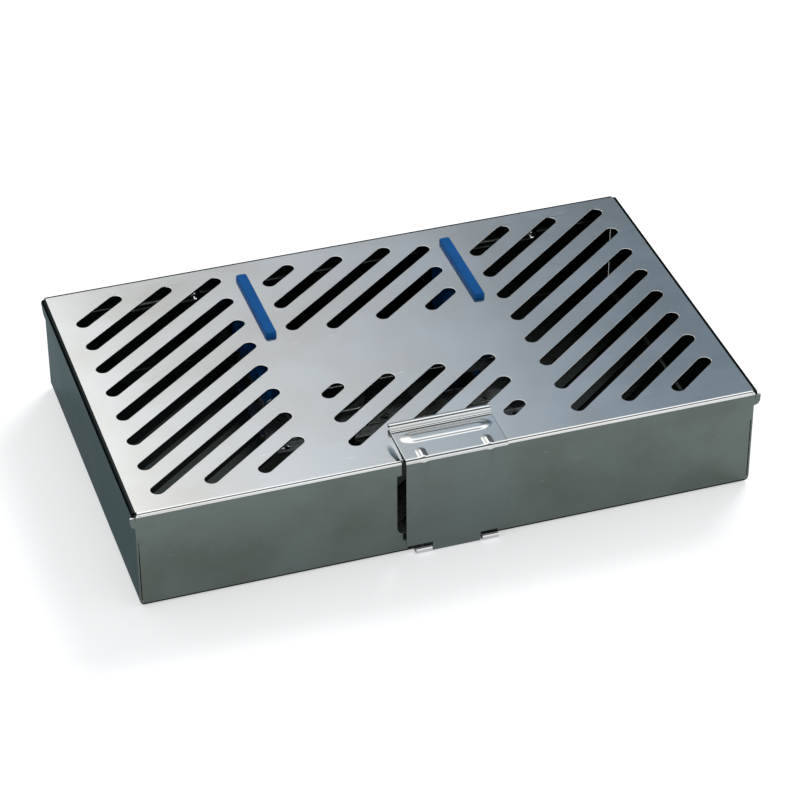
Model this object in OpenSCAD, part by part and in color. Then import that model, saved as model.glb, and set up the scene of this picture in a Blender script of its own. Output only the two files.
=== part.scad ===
/* [Case] */
// Width across the lid's end flanges
case_w = 270; // [250:1:300]
// Depth across the lid's front and rear flanges
case_d = 165; // [155:1:185]
// Height of the closed case, without the latch
case_h = 47.7; // [46:0.1:60]
// Thickness of the steel sheet of the case
sheet = 0.8; // [0.7:0.05:1]
// Outer radius of the bends along the tray's front and rear
tray_bend_r = 1.5; // [1.2:0.1:2.5]
// Outer radius of the bends at the tray's two ends
end_bend_r = 3.2; // [2:0.1:4]
// Gap left between the front and rear walls and the end walls
seam_gap = 0.3; // [0.2:0.05:0.4]
// Length of the weld that closes the top of each corner seam
seam_weld = 14; // [8:1:20]

/* [Lid] */
// Height of the flanges around the lid
flange_h = 7; // [6:0.5:8]
// Outer radius of the bends around the lid
lid_bend_r = 1.4; // [1.2:0.1:2]
// Clearance between the lid's flanges and the tray's walls
lid_gap = 0.4; // [0.4:0.05:0.6]
// Clearance between the lid and the tray's rim
rim_gap = 0.2; // [0.1:0.05:0.4]
// How far the ears of the front flange stand out past the end flanges
ear_reach = 1; // [0.5:0.1:1.5]
// Corner radius of the ears
ear_r = 3; // [2:0.5:4]
// Corner radius at the rear end of the end flanges
flange_end_r = 4; // [2:0.5:5]
// Radius of the relief hole at each corner of the lid
relief_r = 1.1; // [0.9:0.1:1.3]
// Depth of the pocket pressed into the lid under the latch
pocket_depth = 0.6; // [0.4:0.1:0.7]
// How far the pocket reaches back from the lid's front edge
pocket_reach = 15; // [12:0.5:18]
// Width of the notch and the pocket that take the latch
notch_w = 45.8; // [45.2:0.1:48]
// Distance of the notch's middle from the case's middle
notch_x = 0.6; // [-1:0.1:1]

/* [Wash slots] */
// Width of the slots
slot_w = 6; // [4:0.5:7]
// Angle of the slots to the case's long side
slot_angle = 38.7; // [30:0.1:45]
// Distance between neighbouring slots, from front to back
slot_pitch = 18; // [15:0.5:22]
// Distance from the lid's end edges to the slots' end centres
slot_inset_x = 13.2; // [12:0.1:18]
// Distance from the lid's front edge to the slots' end centres
slot_inset_front = 13.5; // [12:0.1:18]
// Distance from the lid's rear edge to the slots' end centres
slot_inset_rear = 12.2; // [12:0.1:18]
// Distance from the lid's front edge to the slots behind the latch
slot_inset_latch = 19.5; // [17:0.5:24]
// Distance from the case's middle to each plain band between the slots
band_x = 47.4; // [44:0.1:54]
// Width of the plain bands, measured between the slots' end centres
band_w = 22; // [21:0.5:26]
// Front edge of the plain middle field, in front of the case's middle
field_front = 23.7; // [23:0.1:28]
// Rear edge of the plain middle field, behind the case's middle
field_rear = 21.5; // [21:0.1:26]

/* [Hinges] */
// Radius of the lid's hinge pins
pin_r = 0.9; // [0.7:0.05:1.1]
// Running clearance around the hinge pins
pin_gap = 0.05; // [0.03:0.01:0.08]
// Distance from the tray's rim down to the lid's hinge line
hinge_drop = 12.8; // [12:0.1:13]
// Distance from the case's middle to each lid hinge
hinge_x = 80; // [60:1:95]
// Width of the tray's knuckle at each lid hinge
tray_knuckle_w = 28; // [20:1:32]
// Width of each of the lid's knuckles
lid_knuckle_w = 8; // [6:0.5:12]
// Side play between neighbouring knuckles
knuckle_play = 0.5; // [0.3:0.05:0.6]
// Distance from the tray's rim down to the bead across the rear wall
bead_drop = 10.1; // [9:0.1:10.5]
// Radius of the bead across the rear wall
rear_bead_r = 1; // [0.6:0.1:1.5]

/* [Latch] */
// Width of the latch
latch_w = 44; // [38:0.5:46]
// Distance of the latch's middle from the case's middle
latch_x = 1.1; // [-1.5:0.1:1.5]
// Thickness of the latch's spring sheet
latch_t = 0.7; // [0.6:0.05:0.9]
// Clearance between the latch's lip and the lid
lip_gap = 0.15; // [0.1:0.05:0.4]
// Depth of the lip from the latch's front face to its rear edge
lip_reach = 23; // [21:0.5:26]
// Height of the turned-up rear edge, from the lip's underside
lip_rise = 3.3; // [2:0.1:4]
// Outer radius of the bend between the latch's face and its lip
latch_bend_r = 1.7; // [1.4:0.1:2.2]
// Distance from the lip's rear edge to the middle of the long bead
bead_back = 8.8; // [8:0.1:10]
// Distance from the latch's side edges to the ends of the long bead
bead_inset = 3.6; // [3:0.1:6]
// Height of the long bead
bead_h = 0.8; // [0.5:0.1:1]
// Radius of the arc across the long bead
bead_r = 3.7; // [3.2:0.1:4.5]
// Distance from the latch's middle to the two short ribs
rib_x = 14.2; // [10:0.1:16]
// Height of the two short ribs across the bend
rib_h = 0.6; // [0.4:0.1:0.8]
// Radius of the arc across the short ribs
rib_r = 1.4; // [1.2:0.1:1.8]
// How far the short ribs reach back from the latch's face
rib_reach = 7.5; // [5:0.5:8]
// How far the short ribs reach down from the lip
rib_drop = 14; // [8:0.5:18]
// Width of the latch's tongue between the tray's curls
tongue_w = 21; // [18:0.2:24]
// Height of the latch's hinge arms, which turn in the tray's curls
arm_h = 1.4; // [1.2:0.1:1.6]
// Clearance around the hinge arms
arm_gap = 0.06; // [0.03:0.01:0.1]
// Width of each of the tray's curls at the latch
curl_w = 7; // [5:0.1:8]
// Gap between the tray's front wall and the curls
curl_gap = 0.6; // [0.4:0.05:1]
// Height of the latch's lower edge beside its tongue
skirt_z = 4.6; // [4.2:0.1:6]
// Width of the cut-out in the tray's front wall behind the latch
window_w = 48; // [48:0.5:56]
// Height of the cut-out's lower edge above the base
window_z = 10; // [8:0.5:16]
// Radius of the cut-out's lower corners
window_r = 3; // [1:0.5:5]

/* [Instrument racks] */
// Distance from the rear wall to the racks
rack_gap = 3; // [2:0.5:6]
// Length of the racks
rack_len = 65; // [60:1:66]
// Width of the rails' feet
rail_foot = 8; // [7:0.1:8.4]
// Height of the rails above the floor
rail_h = 17; // [14:0.5:18]
// Thickness of the silicone combs
comb_t = 6; // [5:0.5:7]
// Height of the combs' lower edge above the floor
comb_base = 8.5; // [6:0.5:10]
// Height of the combs' upper edge above the floor
comb_top = 30.5; // [30:0.5:31]
// Number of notches in each comb
notch_count = 5; // [4:1:5]
// Radius of the notches
notch_r = 5; // [3.5:0.1:5.2]
// Distance between neighbouring notches
notch_pitch = 12.6; // [11.5:0.1:13]
// Depth of the notches
notch_depth = 12; // [9:0.5:12]
// Width of the silicone bars on the lid
bar_w = 5; // [4:0.1:6]
// Length of the silicone bars on the lid
bar_len = 49; // [40:1:50]
// Height of the bars above the lid
bar_h = 2.2; // [1:0.1:3]
// Clearance between the combs and the pads that hang from the bars
pad_gap = 1.6; // [0.6:0.1:3]

/* [Front bay] */
// Distance from the racks to the divider in front of them
divider_gap = 4.5; // [2:0.5:6]
// Height of the divider above the floor
divider_h = 24; // [16:1:30]
// Depth of the divider's foot
divider_foot = 8; // [7:0.5:9]
// Inner radius of the spring clips
clip_r = 4; // [3:0.1:4.5]
// Thickness of the spring clips
clip_t = 0.6; // [0.5:0.05:0.8]
// Length of each spring clip
clip_len = 8; // [7:0.5:12]
// Distance from the case's middle to each spring clip
clip_x = 22; // [14:0.5:28]
// Width of the mouth of the spring clips
clip_mouth = 5.6; // [4.6:0.1:6]
// Length of the tip stand's shelf
stand_len = 50; // [44:1:52]
// Width of the tip stand
stand_w = 14; // [12:0.5:15]
// Height of the tip stand above the floor
stand_h = 16; // [12:0.5:24]
// Length of the tip stand's feet
stand_foot = 8; // [7:0.5:9]
// Number of grommets in the tip stand
grommet_count = 6; // [3:1:7]
// Distance between neighbouring grommets
grommet_pitch = 7.6; // [6.8:0.1:8]
// Radius of the grommets' rims
grommet_r = 3; // [2.6:0.1:3.2]
// Radius of the hole in each grommet
grommet_bore_r = 1.2; // [0.8:0.1:1.4]

/* [Parts box] */
// Width of the small parts box
box_w = 66; // [50:1:70]
// Depth of the small parts box
box_d = 26; // [22:0.5:27]
// Height of the small parts box
box_h = 15; // [10:0.5:16]
// Thickness of the box's sheet
box_t = 0.6; // [0.5:0.05:0.8]
// Distance from the tray's walls to the box
box_clear = 3; // [2:0.5:5]
// Width of the knuckle on the box's lid
box_knuckle_w = 22; // [12:1:26]
// Radius of the box's hinge pin
box_pin_r = 0.6; // [0.5:0.05:0.7]
// Radius of the wash holes in the box
box_hole_r = 1.5; // [1:0.1:1.8]
// Distance between neighbouring wash holes
box_hole_pitch = 6; // [5:0.5:8]

/* [Rivets] */
// Radius of the rivets' shanks
rivet_r = 1.4; // [1.2:0.1:1.5]
// Radius of the rivets' heads
rivet_head_r = 2.5; // [2.2:0.1:2.8]
// Height of the rivets' heads
rivet_head_h = 0.9; // [0.6:0.1:1.2]

/* [Hidden] */

$fn = 48;
// Overrun of a cut past the surface that it opens
over = 1;
// Clearance of a rivet or a silicone piece in its hole
fit = 0.05;
steel = "lightsteelblue";
silicone = "royalblue";

tray_w = case_w - 2 * (sheet + lid_gap);
tray_d = case_d - 2 * (sheet + lid_gap);
rim_z = case_h - sheet - rim_gap;
inner_x = tray_w / 2 - sheet;
inner_y = tray_d / 2 - sheet;
floor_z = sheet;

knuckle_r = pin_r + pin_gap + sheet;
hinge_y = tray_d / 2 + lid_gap + knuckle_r;
hinge_z = rim_z - hinge_drop;
hinge_span = tray_knuckle_w + 2 * (knuckle_play + lid_knuckle_w);

arm_room = norm([latch_t, arm_h]) / 2 + arm_gap;
curl_r = arm_room + sheet;
latch_y = -tray_d / 2 - curl_gap - curl_r;
latch_z = curl_r + fit;
latch_face_y = latch_y - latch_t / 2;
lip_z = case_h + lip_gap + latch_t;
lip_end_y = latch_face_y + lip_reach;
curl_x = tongue_w / 2 + knuckle_play + curl_w / 2;

rack_front = inner_y - rack_gap - rack_len;
rack_mid_y = rack_front + rack_len / 2;
bar_y = rack_mid_y;
pad_h = case_h - sheet - floor_z - comb_top - pad_gap;
divider_y = rack_front - divider_gap;
stand_mid_y = -inner_y + 2.5 + stand_foot + stand_len / 2;
clip_seat = rivet_head_r + 10 * fit;
clip_y = divider_y - divider_foot - 3.6 - clip_r - clip_t;
box_x = -inner_x + box_clear + box_w / 2;
box_y = -inner_y + box_clear + box_d / 2;
box_axis_r = box_pin_r + pin_gap + box_t;
box_hinge_y = box_y + box_d / 2 + fit + box_axis_r;
box_hinge_z = floor_z + box_h - box_axis_r;

// General shapes

// A block between two opposite corners
module block(low, high) {
    translate(low)
        cube(high - low);
}

// Children drawn as a (y, z) outline, drawn out along X
module along_x(x0, x1) {
    translate([x0, 0, 0])
        rotate([90, 0, 90])
            linear_extrude(x1 - x0)
                children();
}

// Children drawn as an (x, z) outline, drawn out along Y
module along_y(y0, y1) {
    translate([0, y1, 0])
        rotate([90, 0, 0])
            linear_extrude(y1 - y0)
                children();
}

// An outline that stands on y = 0, with its two lower corners rounded
module round_foot(w, h, r) {
    translate([-w / 2, r])
        square([w, h - r]);
    translate([r - w / 2, 0])
        square([w - 2 * r, r]);
    for (side = [-1, 1])
        translate([side * (w / 2 - r), r])
            circle(r);
}

// The cross-section of an open tray of bent sheet that stands on y = 0
module tub(w, h, t, r) {
    difference() {
        round_foot(w, h, r);
        translate([0, t])
            round_foot(w - 2 * t, h, r - t);
    }
}

// A slot outline that starts at the origin and runs along X
module stadium(run, w) {
    translate([0, -w / 2])
        square([run, w]);
    for (x = [0, run])
        translate([x, 0])
            circle(d = w);
}

// The corner left outside a quarter circle, in the first quadrant
module corner_waste(r) {
    difference() {
        square(r + over);
        circle(r);
    }
}

// A knuckle's cross-section, a ring that is open over the given wedge
module curl(outer, inner, open_from, open_to) {
    span = 2 * outer;
    difference() {
        circle(outer);
        circle(inner);
        polygon([[0, 0],
            span * [cos(open_from), sin(open_from)],
            span * [cos((open_from + open_to) / 2), sin((open_from + open_to) / 2)],
            span * [cos(open_to), sin(open_to)]]);
    }
}

// A rivet whose shank ends flush with the underside of the floor
module rivet(x, y, top) {
    translate([x, y, fit])
        cylinder(h = top - fit, r = rivet_r);
    translate([x, y, top])
        intersection() {
            translate([0, 0, rivet_head_h - rivet_head_ball()])
                sphere(rivet_head_ball());
            cylinder(h = rivet_head_h + over, r = rivet_head_r);
        }
}
function rivet_head_ball() = (rivet_head_r * rivet_head_r + rivet_head_h * rivet_head_h) / (2 * rivet_head_h);

// The hole for a rivet, from below the floor to above the foot
module rivet_hole(x, y) {
    translate([x, y, -over])
        cylinder(h = 2 * sheet + 2 * over, r = rivet_r + fit);
}

// Places of the rivets, as [x, y]
rack_rivet_spots = [for (side = [-1, 1]) for (end = [-1, 1])
    [side * (band_x + rail_foot / 2), rack_mid_y + end * (rack_len / 2 - 9)]];
divider_rivet_spots = [for (x = [-band_x, 0, band_x]) [x, divider_y - sheet - divider_foot / 2]];
clip_rivet_spots = [for (side = [-1, 1]) [side * clip_x, clip_y]];
stand_rivet_spots = [for (end = [-1, 1])
    [band_x, stand_mid_y + end * (stand_len + stand_foot) / 2]];

module rivet_holes(spots) {
    for (spot = spots)
        rivet_hole(spot[0], spot[1]);
}

// Wash slots

// Slanted slots clipped to a field that is given by its middle and by
// the spread of the slots' end centres
module slot_group(cx, cy, w, d) {
    slope = tan(slot_angle);
    reach = ceil((d + w * slope) / 2 / slot_pitch);
    for (k = [-reach : reach - 1]) {
        rise = (k + 0.5) * slot_pitch;
        x0 = max(-w / 2, (-d / 2 - rise) / slope);
        x1 = min(w / 2, (d / 2 - rise) / slope);
        if (x1 - x0 > slot_w / 2)
            translate([cx + x0, cy + rise + x0 * slope])
                rotate(slot_angle)
                    stadium((x1 - x0) / cos(slot_angle), slot_w);
    }
}

// The two end fields and the two middle fields of slots
module slot_field() {
    rear = case_d / 2 - slot_inset_rear;
    front = slot_inset_front - case_d / 2;
    latch_end = slot_inset_latch - case_d / 2;
    end_in = band_x + band_w / 2;
    end_out = case_w / 2 - slot_inset_x;
    middle_w = 2 * band_x - band_w;
    for (side = [-1, 1])
        slot_group(side * (end_in + end_out) / 2, (rear + front) / 2, end_out - end_in, rear - front);
    slot_group(0, (rear + field_rear) / 2, middle_w, rear - field_rear);
    slot_group(0, (latch_end - field_front) / 2, middle_w, -field_front - latch_end);
}

// Tray

module tray_blank() {
    difference() {
        intersection() {
            along_x(-tray_w / 2, tray_w / 2)
                round_foot(tray_d, rim_z, tray_bend_r);
            along_y(-tray_d / 2, tray_d / 2)
                round_foot(tray_w, rim_z, end_bend_r);
        }
        intersection() {
            along_x(-inner_x, inner_x)
                translate([0, sheet])
                    round_foot(2 * inner_y, rim_z, tray_bend_r - sheet);
            along_y(-inner_y, inner_y)
                translate([0, sheet])
                    round_foot(2 * inner_x, rim_z, end_bend_r - sheet);
        }
    }
}

// The open seams where the front and rear walls meet the end walls
module seam_cuts() {
    for (x = [-1, 1])
        for (y = [-1, 1])
            translate([x * (inner_x - seam_gap / 2), y * (tray_d / 2 - sheet / 2), 0])
                block([-seam_gap / 2, -sheet / 2 - fit, end_bend_r],
                    [seam_gap / 2, sheet / 2 + fit, rim_z - seam_weld]);
}

// The cut-out behind the latch, open at the rim
module latch_window() {
    along_y(-tray_d / 2 - over, -inner_y + over)
        translate([0, window_z])
            round_foot(window_w, case_h, window_r);
}

// A long bead pressed into the rear wall, left off at the hinges
module rear_bead() {
    reach = hinge_x - tray_knuckle_w / 2 - 2;
    outer = hinge_x + tray_knuckle_w / 2 + 2;
    spans = [[-inner_x + 8, -outer], [-reach, reach], [outer, inner_x - 8]];
    for (span = spans)
        along_x(span[0], span[1])
            translate([inner_y, rim_z - bead_drop])
                intersection() {
                    circle(rear_bead_r);
                    translate([-2 * rear_bead_r, -rear_bead_r])
                        square([2 * rear_bead_r + fit, 2 * rear_bead_r]);
                }
}

// The tab that leaves the rear wall and curls up round a hinge pin
module tray_hinge_tab(x) {
    along_x(x - tray_knuckle_w / 2, x + tray_knuckle_w / 2) {
        translate([hinge_y, hinge_z])
            curl(knuckle_r, pin_r + pin_gap, 150, 262);
        translate([inner_y + sheet / 2, hinge_z - knuckle_r])
            square([hinge_y - inner_y - sheet / 2, sheet]);
    }
}

// The opening in the rear wall that the tab was cut from
module hinge_tab_window(x) {
    block([x - tray_knuckle_w / 2 - 1, inner_y - over, hinge_z - knuckle_r + sheet],
        [x + tray_knuckle_w / 2 + 1, tray_d / 2 + over, hinge_z + knuckle_r + 1]);
}

// The tab that leaves the floor and curls up round a hinge arm of the latch
module latch_curl(side) {
    x = latch_x + side * curl_x;
    along_x(x - curl_w / 2, x + curl_w / 2) {
        translate([latch_y, latch_z])
            curl(curl_r, arm_room, -82, 30);
        translate([latch_y, latch_z - curl_r])
            square([tray_bend_r - latch_y - tray_d / 2, sheet]);
    }
}

// The opening in the front wall that a latch curl was cut from
module curl_window(side) {
    x = latch_x + side * curl_x;
    block([x - curl_w / 2 - 2.6, -tray_d / 2 - over, latch_z - curl_r + sheet],
        [x + curl_w / 2 + 0.8, tray_bend_r - tray_d / 2, skirt_z]);
}

module tray_shell() {
    color(steel)
        difference() {
            union() {
                difference() {
                    tray_blank();
                    seam_cuts();
                    latch_window();
                    for (side = [-1, 1]) {
                        hinge_tab_window(side * hinge_x);
                        curl_window(side);
                    }
                }
                rear_bead();
                for (side = [-1, 1]) {
                    tray_hinge_tab(side * hinge_x);
                    latch_curl(side);
                }
            }
            translate([0, 0, -over])
                linear_extrude(sheet + 2 * over)
                    slot_field();
            rivet_holes(rack_rivet_spots);
            rivet_holes(divider_rivet_spots);
            rivet_holes(clip_rivet_spots);
            rivet_holes(stand_rivet_spots);
        }
}

// Lid

// The lid's cross-section, a tub turned over
module lid_section(w) {
    translate([0, case_h])
        mirror([0, 1])
            tub(w, flange_h, sheet, lid_bend_r);
}

// The front flange's plate with its two ears
module lid_ears() {
    along_y(-case_d / 2, sheet - case_d / 2)
        translate([0, case_h - flange_h])
            round_foot(case_w + 2 * ear_reach, flange_h - lid_bend_r, ear_r);
}

// The pressed pocket that the latch's lip lies over. Its sides stay behind the
// tray's front wall, and its front edge lies in the cut-out of that wall.
module pocket_pan() {
    low = case_h - pocket_depth - sheet;
    block([notch_x - notch_w / 2, -tray_d / 2, low],
        [notch_x + notch_w / 2, lid_gap - inner_y + over, case_h - sheet]);
    block([notch_x - notch_w / 2 - sheet, lid_gap - inner_y, low],
        [notch_x + notch_w / 2 + sheet, pocket_reach + sheet - case_d / 2, case_h - sheet]);
}

module pocket_cut() {
    block([notch_x - notch_w / 2, -case_d / 2 - over, case_h - pocket_depth],
        [notch_x + notch_w / 2, pocket_reach - case_d / 2, case_h + over]);
}

// The notch that lets the latch's face pass the front flange
module flange_notch() {
    block([notch_x - notch_w / 2, -case_d / 2 - over, case_h - flange_h - over],
        [notch_x + notch_w / 2, -tray_d / 2, case_h + over]);
}

// The tabs that run down from the rear flange and curl round a hinge pin
module lid_hinge_tabs(x) {
    for (side = [-1, 1]) {
        x0 = x + side * (hinge_span - lid_knuckle_w) / 2;
        along_x(x0 - lid_knuckle_w / 2, x0 + lid_knuckle_w / 2) {
            translate([hinge_y, hinge_z])
                curl(knuckle_r, pin_r + pin_gap, 60, 172);
            translate([case_d / 2 - sheet, hinge_z])
                square([sheet, case_h - flange_h - hinge_z + over]);
        }
    }
}

module lid_shell() {
    color("gainsboro")
        difference() {
            union() {
                along_x(lid_bend_r - case_w / 2, case_w / 2 - lid_bend_r)
                    lid_section(case_d);
                along_y(sheet + seam_gap - case_d / 2, case_d / 2 - sheet - seam_gap)
                    lid_section(case_w);
                lid_ears();
                pocket_pan();
                for (side = [-1, 1])
                    lid_hinge_tabs(side * hinge_x);
            }
            translate([0, 0, case_h - 2 * sheet - over])
                linear_extrude(2 * sheet + 2 * over)
                    slot_field();
            pocket_cut();
            flange_notch();
            for (x = [-1, 1]) {
                for (y = [-1, 1])
                    translate([x * (case_w / 2 - relief_r), y * (case_d / 2 - relief_r), case_h - lid_bend_r - relief_r])
                        cylinder(h = lid_bend_r + relief_r + over, r = relief_r);
                bar_hole(x * band_x);
            }
            // Rounded rear corners of the end flanges
            along_x(-case_w, case_w)
                translate([case_d / 2 - sheet - seam_gap - flange_end_r, case_h - flange_h + flange_end_r])
                    mirror([0, 1])
                        intersection() {
                            corner_waste(flange_end_r);
                            square([flange_end_r + seam_gap / 2, flange_end_r + over]);
                        }
        }
}

// Silicone hold-down bars

module bar_hole(x) {
    block([x - bar_w / 2 + 1, bar_y - bar_len / 2 + 3, case_h - sheet - over],
        [x + bar_w / 2 - 1, bar_y + bar_len / 2 - 3, case_h + over]);
}

// A bar on the lid, its neck through the lid and its pad underneath
module hold_down(x) {
    color(silicone) {
        block([x - bar_w / 2, bar_y - bar_len / 2, case_h],
            [x + bar_w / 2, bar_y + bar_len / 2, case_h + bar_h]);
        block([x - bar_w / 2 + 1 + fit, bar_y - bar_len / 2 + 3 + fit, case_h - sheet - fit],
            [x + bar_w / 2 - 1 - fit, bar_y + bar_len / 2 - 3 - fit, case_h + fit]);
        along_y(bar_y - bar_len / 2, bar_y + bar_len / 2)
            translate([x, case_h - sheet - pad_h])
                round_foot(comb_t, pad_h, comb_t / 2 - fit);
    }
}

// Latch

// A quarter of a bent sheet's ring, in the quadrant that the signs name
module bend(r, t, side_y, side_z) {
    intersection() {
        difference() {
            circle(r);
            circle(r - t);
        }
        translate([side_y < 0 ? -r : 0, side_z < 0 ? -r : 0])
            square(r);
    }
}

// The bent sheet of the latch, as a (y, z) outline without its beads
module latch_section() {
    turn_y = latch_face_y + latch_bend_r;
    translate([latch_face_y, latch_z - curl_r + 2 * fit])
        square([latch_t, lip_z - latch_bend_r - latch_z + curl_r - 2 * fit]);
    translate([turn_y, lip_z - latch_bend_r])
        bend(latch_bend_r, latch_t, -1, 1);
    translate([turn_y, lip_z - latch_t])
        square([lip_end_y - lip_rise - turn_y, latch_t]);
    translate([lip_end_y - lip_rise, lip_z - latch_t + lip_rise])
        bend(lip_rise, latch_t, 1, -1);
}

// A round-ended bead that stands out of the lip
module lip_bead() {
    half = latch_w / 2 - bead_inset;
    y = lip_end_y - bead_back;
    intersection() {
        translate([latch_x, y, lip_z + bead_h - bead_r]) {
            rotate([0, 90, 0])
                cylinder(h = 2 * (half - bead_r), r = bead_r, center = true);
            for (side = [-1, 1])
                translate([side * (half - bead_r), 0, 0])
                    sphere(bead_r);
        }
        block([latch_x - half, y - bead_r, lip_z - latch_t / 2],
            [latch_x + half, y + bead_r, lip_z + bead_h + over]);
    }
}

// A short rib's cross-section on a sheet whose surface is at y = 0
module rib_section() {
    intersection() {
        translate([0, rib_h - rib_r])
            circle(rib_r);
        translate([-rib_r, -latch_t / 2])
            square([2 * rib_r, rib_h + latch_t]);
    }
}

// A short rib that runs over the lip, round the bend and down the face
module bend_rib(x) {
    turn_y = latch_face_y + latch_bend_r;
    turn_z = lip_z - latch_bend_r;
    along_y(turn_y, latch_face_y + rib_reach)
        translate([x, lip_z])
            rib_section();
    translate([x, turn_y, turn_z])
        rotate([0, 90, 0])
            rotate([0, 0, 180])
                rotate_extrude(angle = 90)
                    translate([latch_bend_r, 0])
                        rotate(-90)
                            rib_section();
    translate([x, latch_face_y, lip_z - rib_drop])
        linear_extrude(rib_drop - latch_bend_r)
            mirror([0, 1])
                rib_section();
}

module latch_clip() {
    low = latch_x - latch_w / 2;
    high = latch_x + latch_w / 2;
    tongue_low = latch_x - tongue_w / 2;
    tongue_high = latch_x + tongue_w / 2;
    arm_span = curl_x + curl_w / 2;
    color("silver") {
        difference() {
            along_x(low, high)
                latch_section();
            // The face ends higher beside the tongue, clear of the tray's curls
            block([low - over, latch_face_y - over, 0], [tongue_low, latch_y + over, skirt_z]);
            block([tongue_high, latch_face_y - over, 0], [high + over, latch_y + over, skirt_z]);
        }
        block([latch_x - arm_span, latch_face_y, latch_z - arm_h / 2],
            [latch_x + arm_span, latch_face_y + latch_t, latch_z + arm_h / 2]);
        lip_bead();
        for (side = [-1, 1])
            bend_rib(latch_x + side * rib_x);
    }
}

// Hinge pins

module pin(x, y, z, length, r) {
    color("silver")
        translate([x, y, z])
            rotate([0, 90, 0])
                cylinder(h = length, r = r, center = true);
}

module hinge_pin(side) {
    pin(side * hinge_x, hinge_y, hinge_z, hinge_span, pin_r);
}

// Racks

// A folded rail, its foot on the outer side of the upright blade
module rack(side) {
    color(steel)
        mirror([side < 0 ? 1 : 0, 0, 0])
            difference() {
                union() {
                    block([band_x - sheet / 2, rack_front, floor_z],
                        [band_x + sheet / 2, rack_front + rack_len, floor_z + rail_h]);
                    block([band_x - sheet / 2, rack_front, floor_z],
                        [band_x + rail_foot, rack_front + rack_len, floor_z + sheet]);
                }
                rivet_holes(rack_rivet_spots);
            }
}

// A silicone comb, seated on the blade by the groove in its lower edge
module comb(side) {
    x = side * band_x;
    color(silicone)
        difference() {
            block([x - comb_t / 2, rack_front, floor_z + comb_base],
                [x + comb_t / 2, rack_front + rack_len, floor_z + comb_top]);
            block([x - sheet / 2 - fit, rack_front - over, floor_z + comb_base - over],
                [x + sheet / 2 + fit, rack_front + rack_len + over, floor_z + rail_h + fit]);
            for (k = [0 : notch_count - 1])
                along_x(x - comb_t, x + comb_t)
                    translate([rack_mid_y + (k - (notch_count - 1) / 2) * notch_pitch,
                        floor_z + comb_top - notch_depth])
                        round_foot(2 * notch_r, notch_depth + over, notch_r - fit);
        }
}

module rack_rivets() {
    color("silver")
        for (spot = rack_rivet_spots)
            rivet(spot[0], spot[1], floor_z + sheet);
}

// Divider

module divider() {
    half = band_x + rail_foot;
    color(steel)
        difference() {
            union() {
                block([-half, divider_y - sheet, floor_z], [half, divider_y, floor_z + divider_h]);
                block([-half, divider_y - sheet - divider_foot, floor_z], [half, divider_y, floor_z + sheet]);
            }
            rivet_holes(divider_rivet_spots);
            // Long holes that lighten the upright wall
            for (side = [-1, 1])
                along_y(divider_y - sheet - over, divider_y + over)
                    translate([side * half / 2 - half / 4, floor_z + divider_h * 0.6])
                        stadium(half / 2, divider_h / 3);
        }
}

module divider_rivets() {
    color("silver")
        for (spot = divider_rivet_spots)
            rivet(spot[0], spot[1], floor_z + sheet);
}

// Spring clips

// One clip's cross-section: a flat seat for the rivet and two arms that close to a mouth
module clip_section() {
    outer = clip_r + clip_t;
    centre = clip_t + sqrt(clip_r * clip_r - clip_seat * clip_seat);
    mouth = asin(clip_mouth / 2 / clip_r);
    difference() {
        translate([0, centre])
            curl(outer, clip_r, 90 - mouth, 90 + mouth);
        translate([-outer, -outer])
            square([2 * outer, outer]);
    }
    translate([-clip_seat, 0])
        square([2 * clip_seat, clip_t]);
    // Flared lips that guide a shank into the mouth
    for (side = [-1, 1])
        translate([0, centre])
            rotate(-side * mouth)
                translate([side * clip_t / 2 - clip_t / 2, clip_r + clip_t / 2])
                    rotate(-side * 20)
                        square([clip_t, 2]);
}

module spring_clips() {
    color("silver")
        difference() {
            for (spot = clip_rivet_spots)
                translate([0, spot[1], floor_z])
                    along_x(spot[0] - clip_len / 2, spot[0] + clip_len / 2)
                        clip_section();
            rivet_holes(clip_rivet_spots);
        }
}

module clip_rivets() {
    color("silver")
        for (spot = clip_rivet_spots)
            rivet(spot[0], spot[1], floor_z + clip_t);
}

// Tip stand

module tip_stand() {
    half = stand_len / 2;
    color(steel)
        difference() {
            translate([0, stand_mid_y, floor_z])
                along_x(band_x - stand_w / 2, band_x + stand_w / 2) {
                    translate([-half, stand_h - sheet])
                        square([stand_len, sheet]);
                    for (end = [-1, 1]) {
                        translate([end * (half - sheet / 2) - sheet / 2, 0])
                            square([sheet, stand_h]);
                        translate([end * (half + stand_foot / 2 - sheet / 2) - (stand_foot + sheet) / 2, 0])
                            square([stand_foot + sheet, sheet]);
                    }
                }
            rivet_holes(stand_rivet_spots);
            for (spot = grommet_spots())
                translate([spot[0], spot[1], floor_z + stand_h - sheet - over])
                    cylinder(h = sheet + 2 * over, r = grommet_neck_r() + fit);
        }
}
function grommet_neck_r() = (grommet_r + grommet_bore_r) / 2;
function grommet_spots() = [for (k = [0 : grommet_count - 1])
    [band_x, stand_mid_y + (k - (grommet_count - 1) / 2) * grommet_pitch]];

// One silicone grommet, its neck in the shelf between two rims
module grommet() {
    rim = sheet;
    difference() {
        union() {
            translate([0, 0, -sheet - rim])
                cylinder(h = rim, r = grommet_r);
            translate([0, 0, -sheet - fit])
                cylinder(h = sheet + 2 * fit, r = grommet_neck_r());
            cylinder(h = rim, r = grommet_r);
        }
        translate([0, 0, -sheet - rim - over])
            cylinder(h = sheet + 2 * rim + 2 * over, r = grommet_bore_r);
    }
}

module tip_grommets() {
    color(silicone)
        for (spot = grommet_spots())
            translate([spot[0], spot[1], floor_z + stand_h])
                grommet();
}

module stand_rivets() {
    color("silver")
        for (spot = stand_rivet_spots)
            rivet(spot[0], spot[1], floor_z + sheet);
}

// Small parts box

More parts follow.
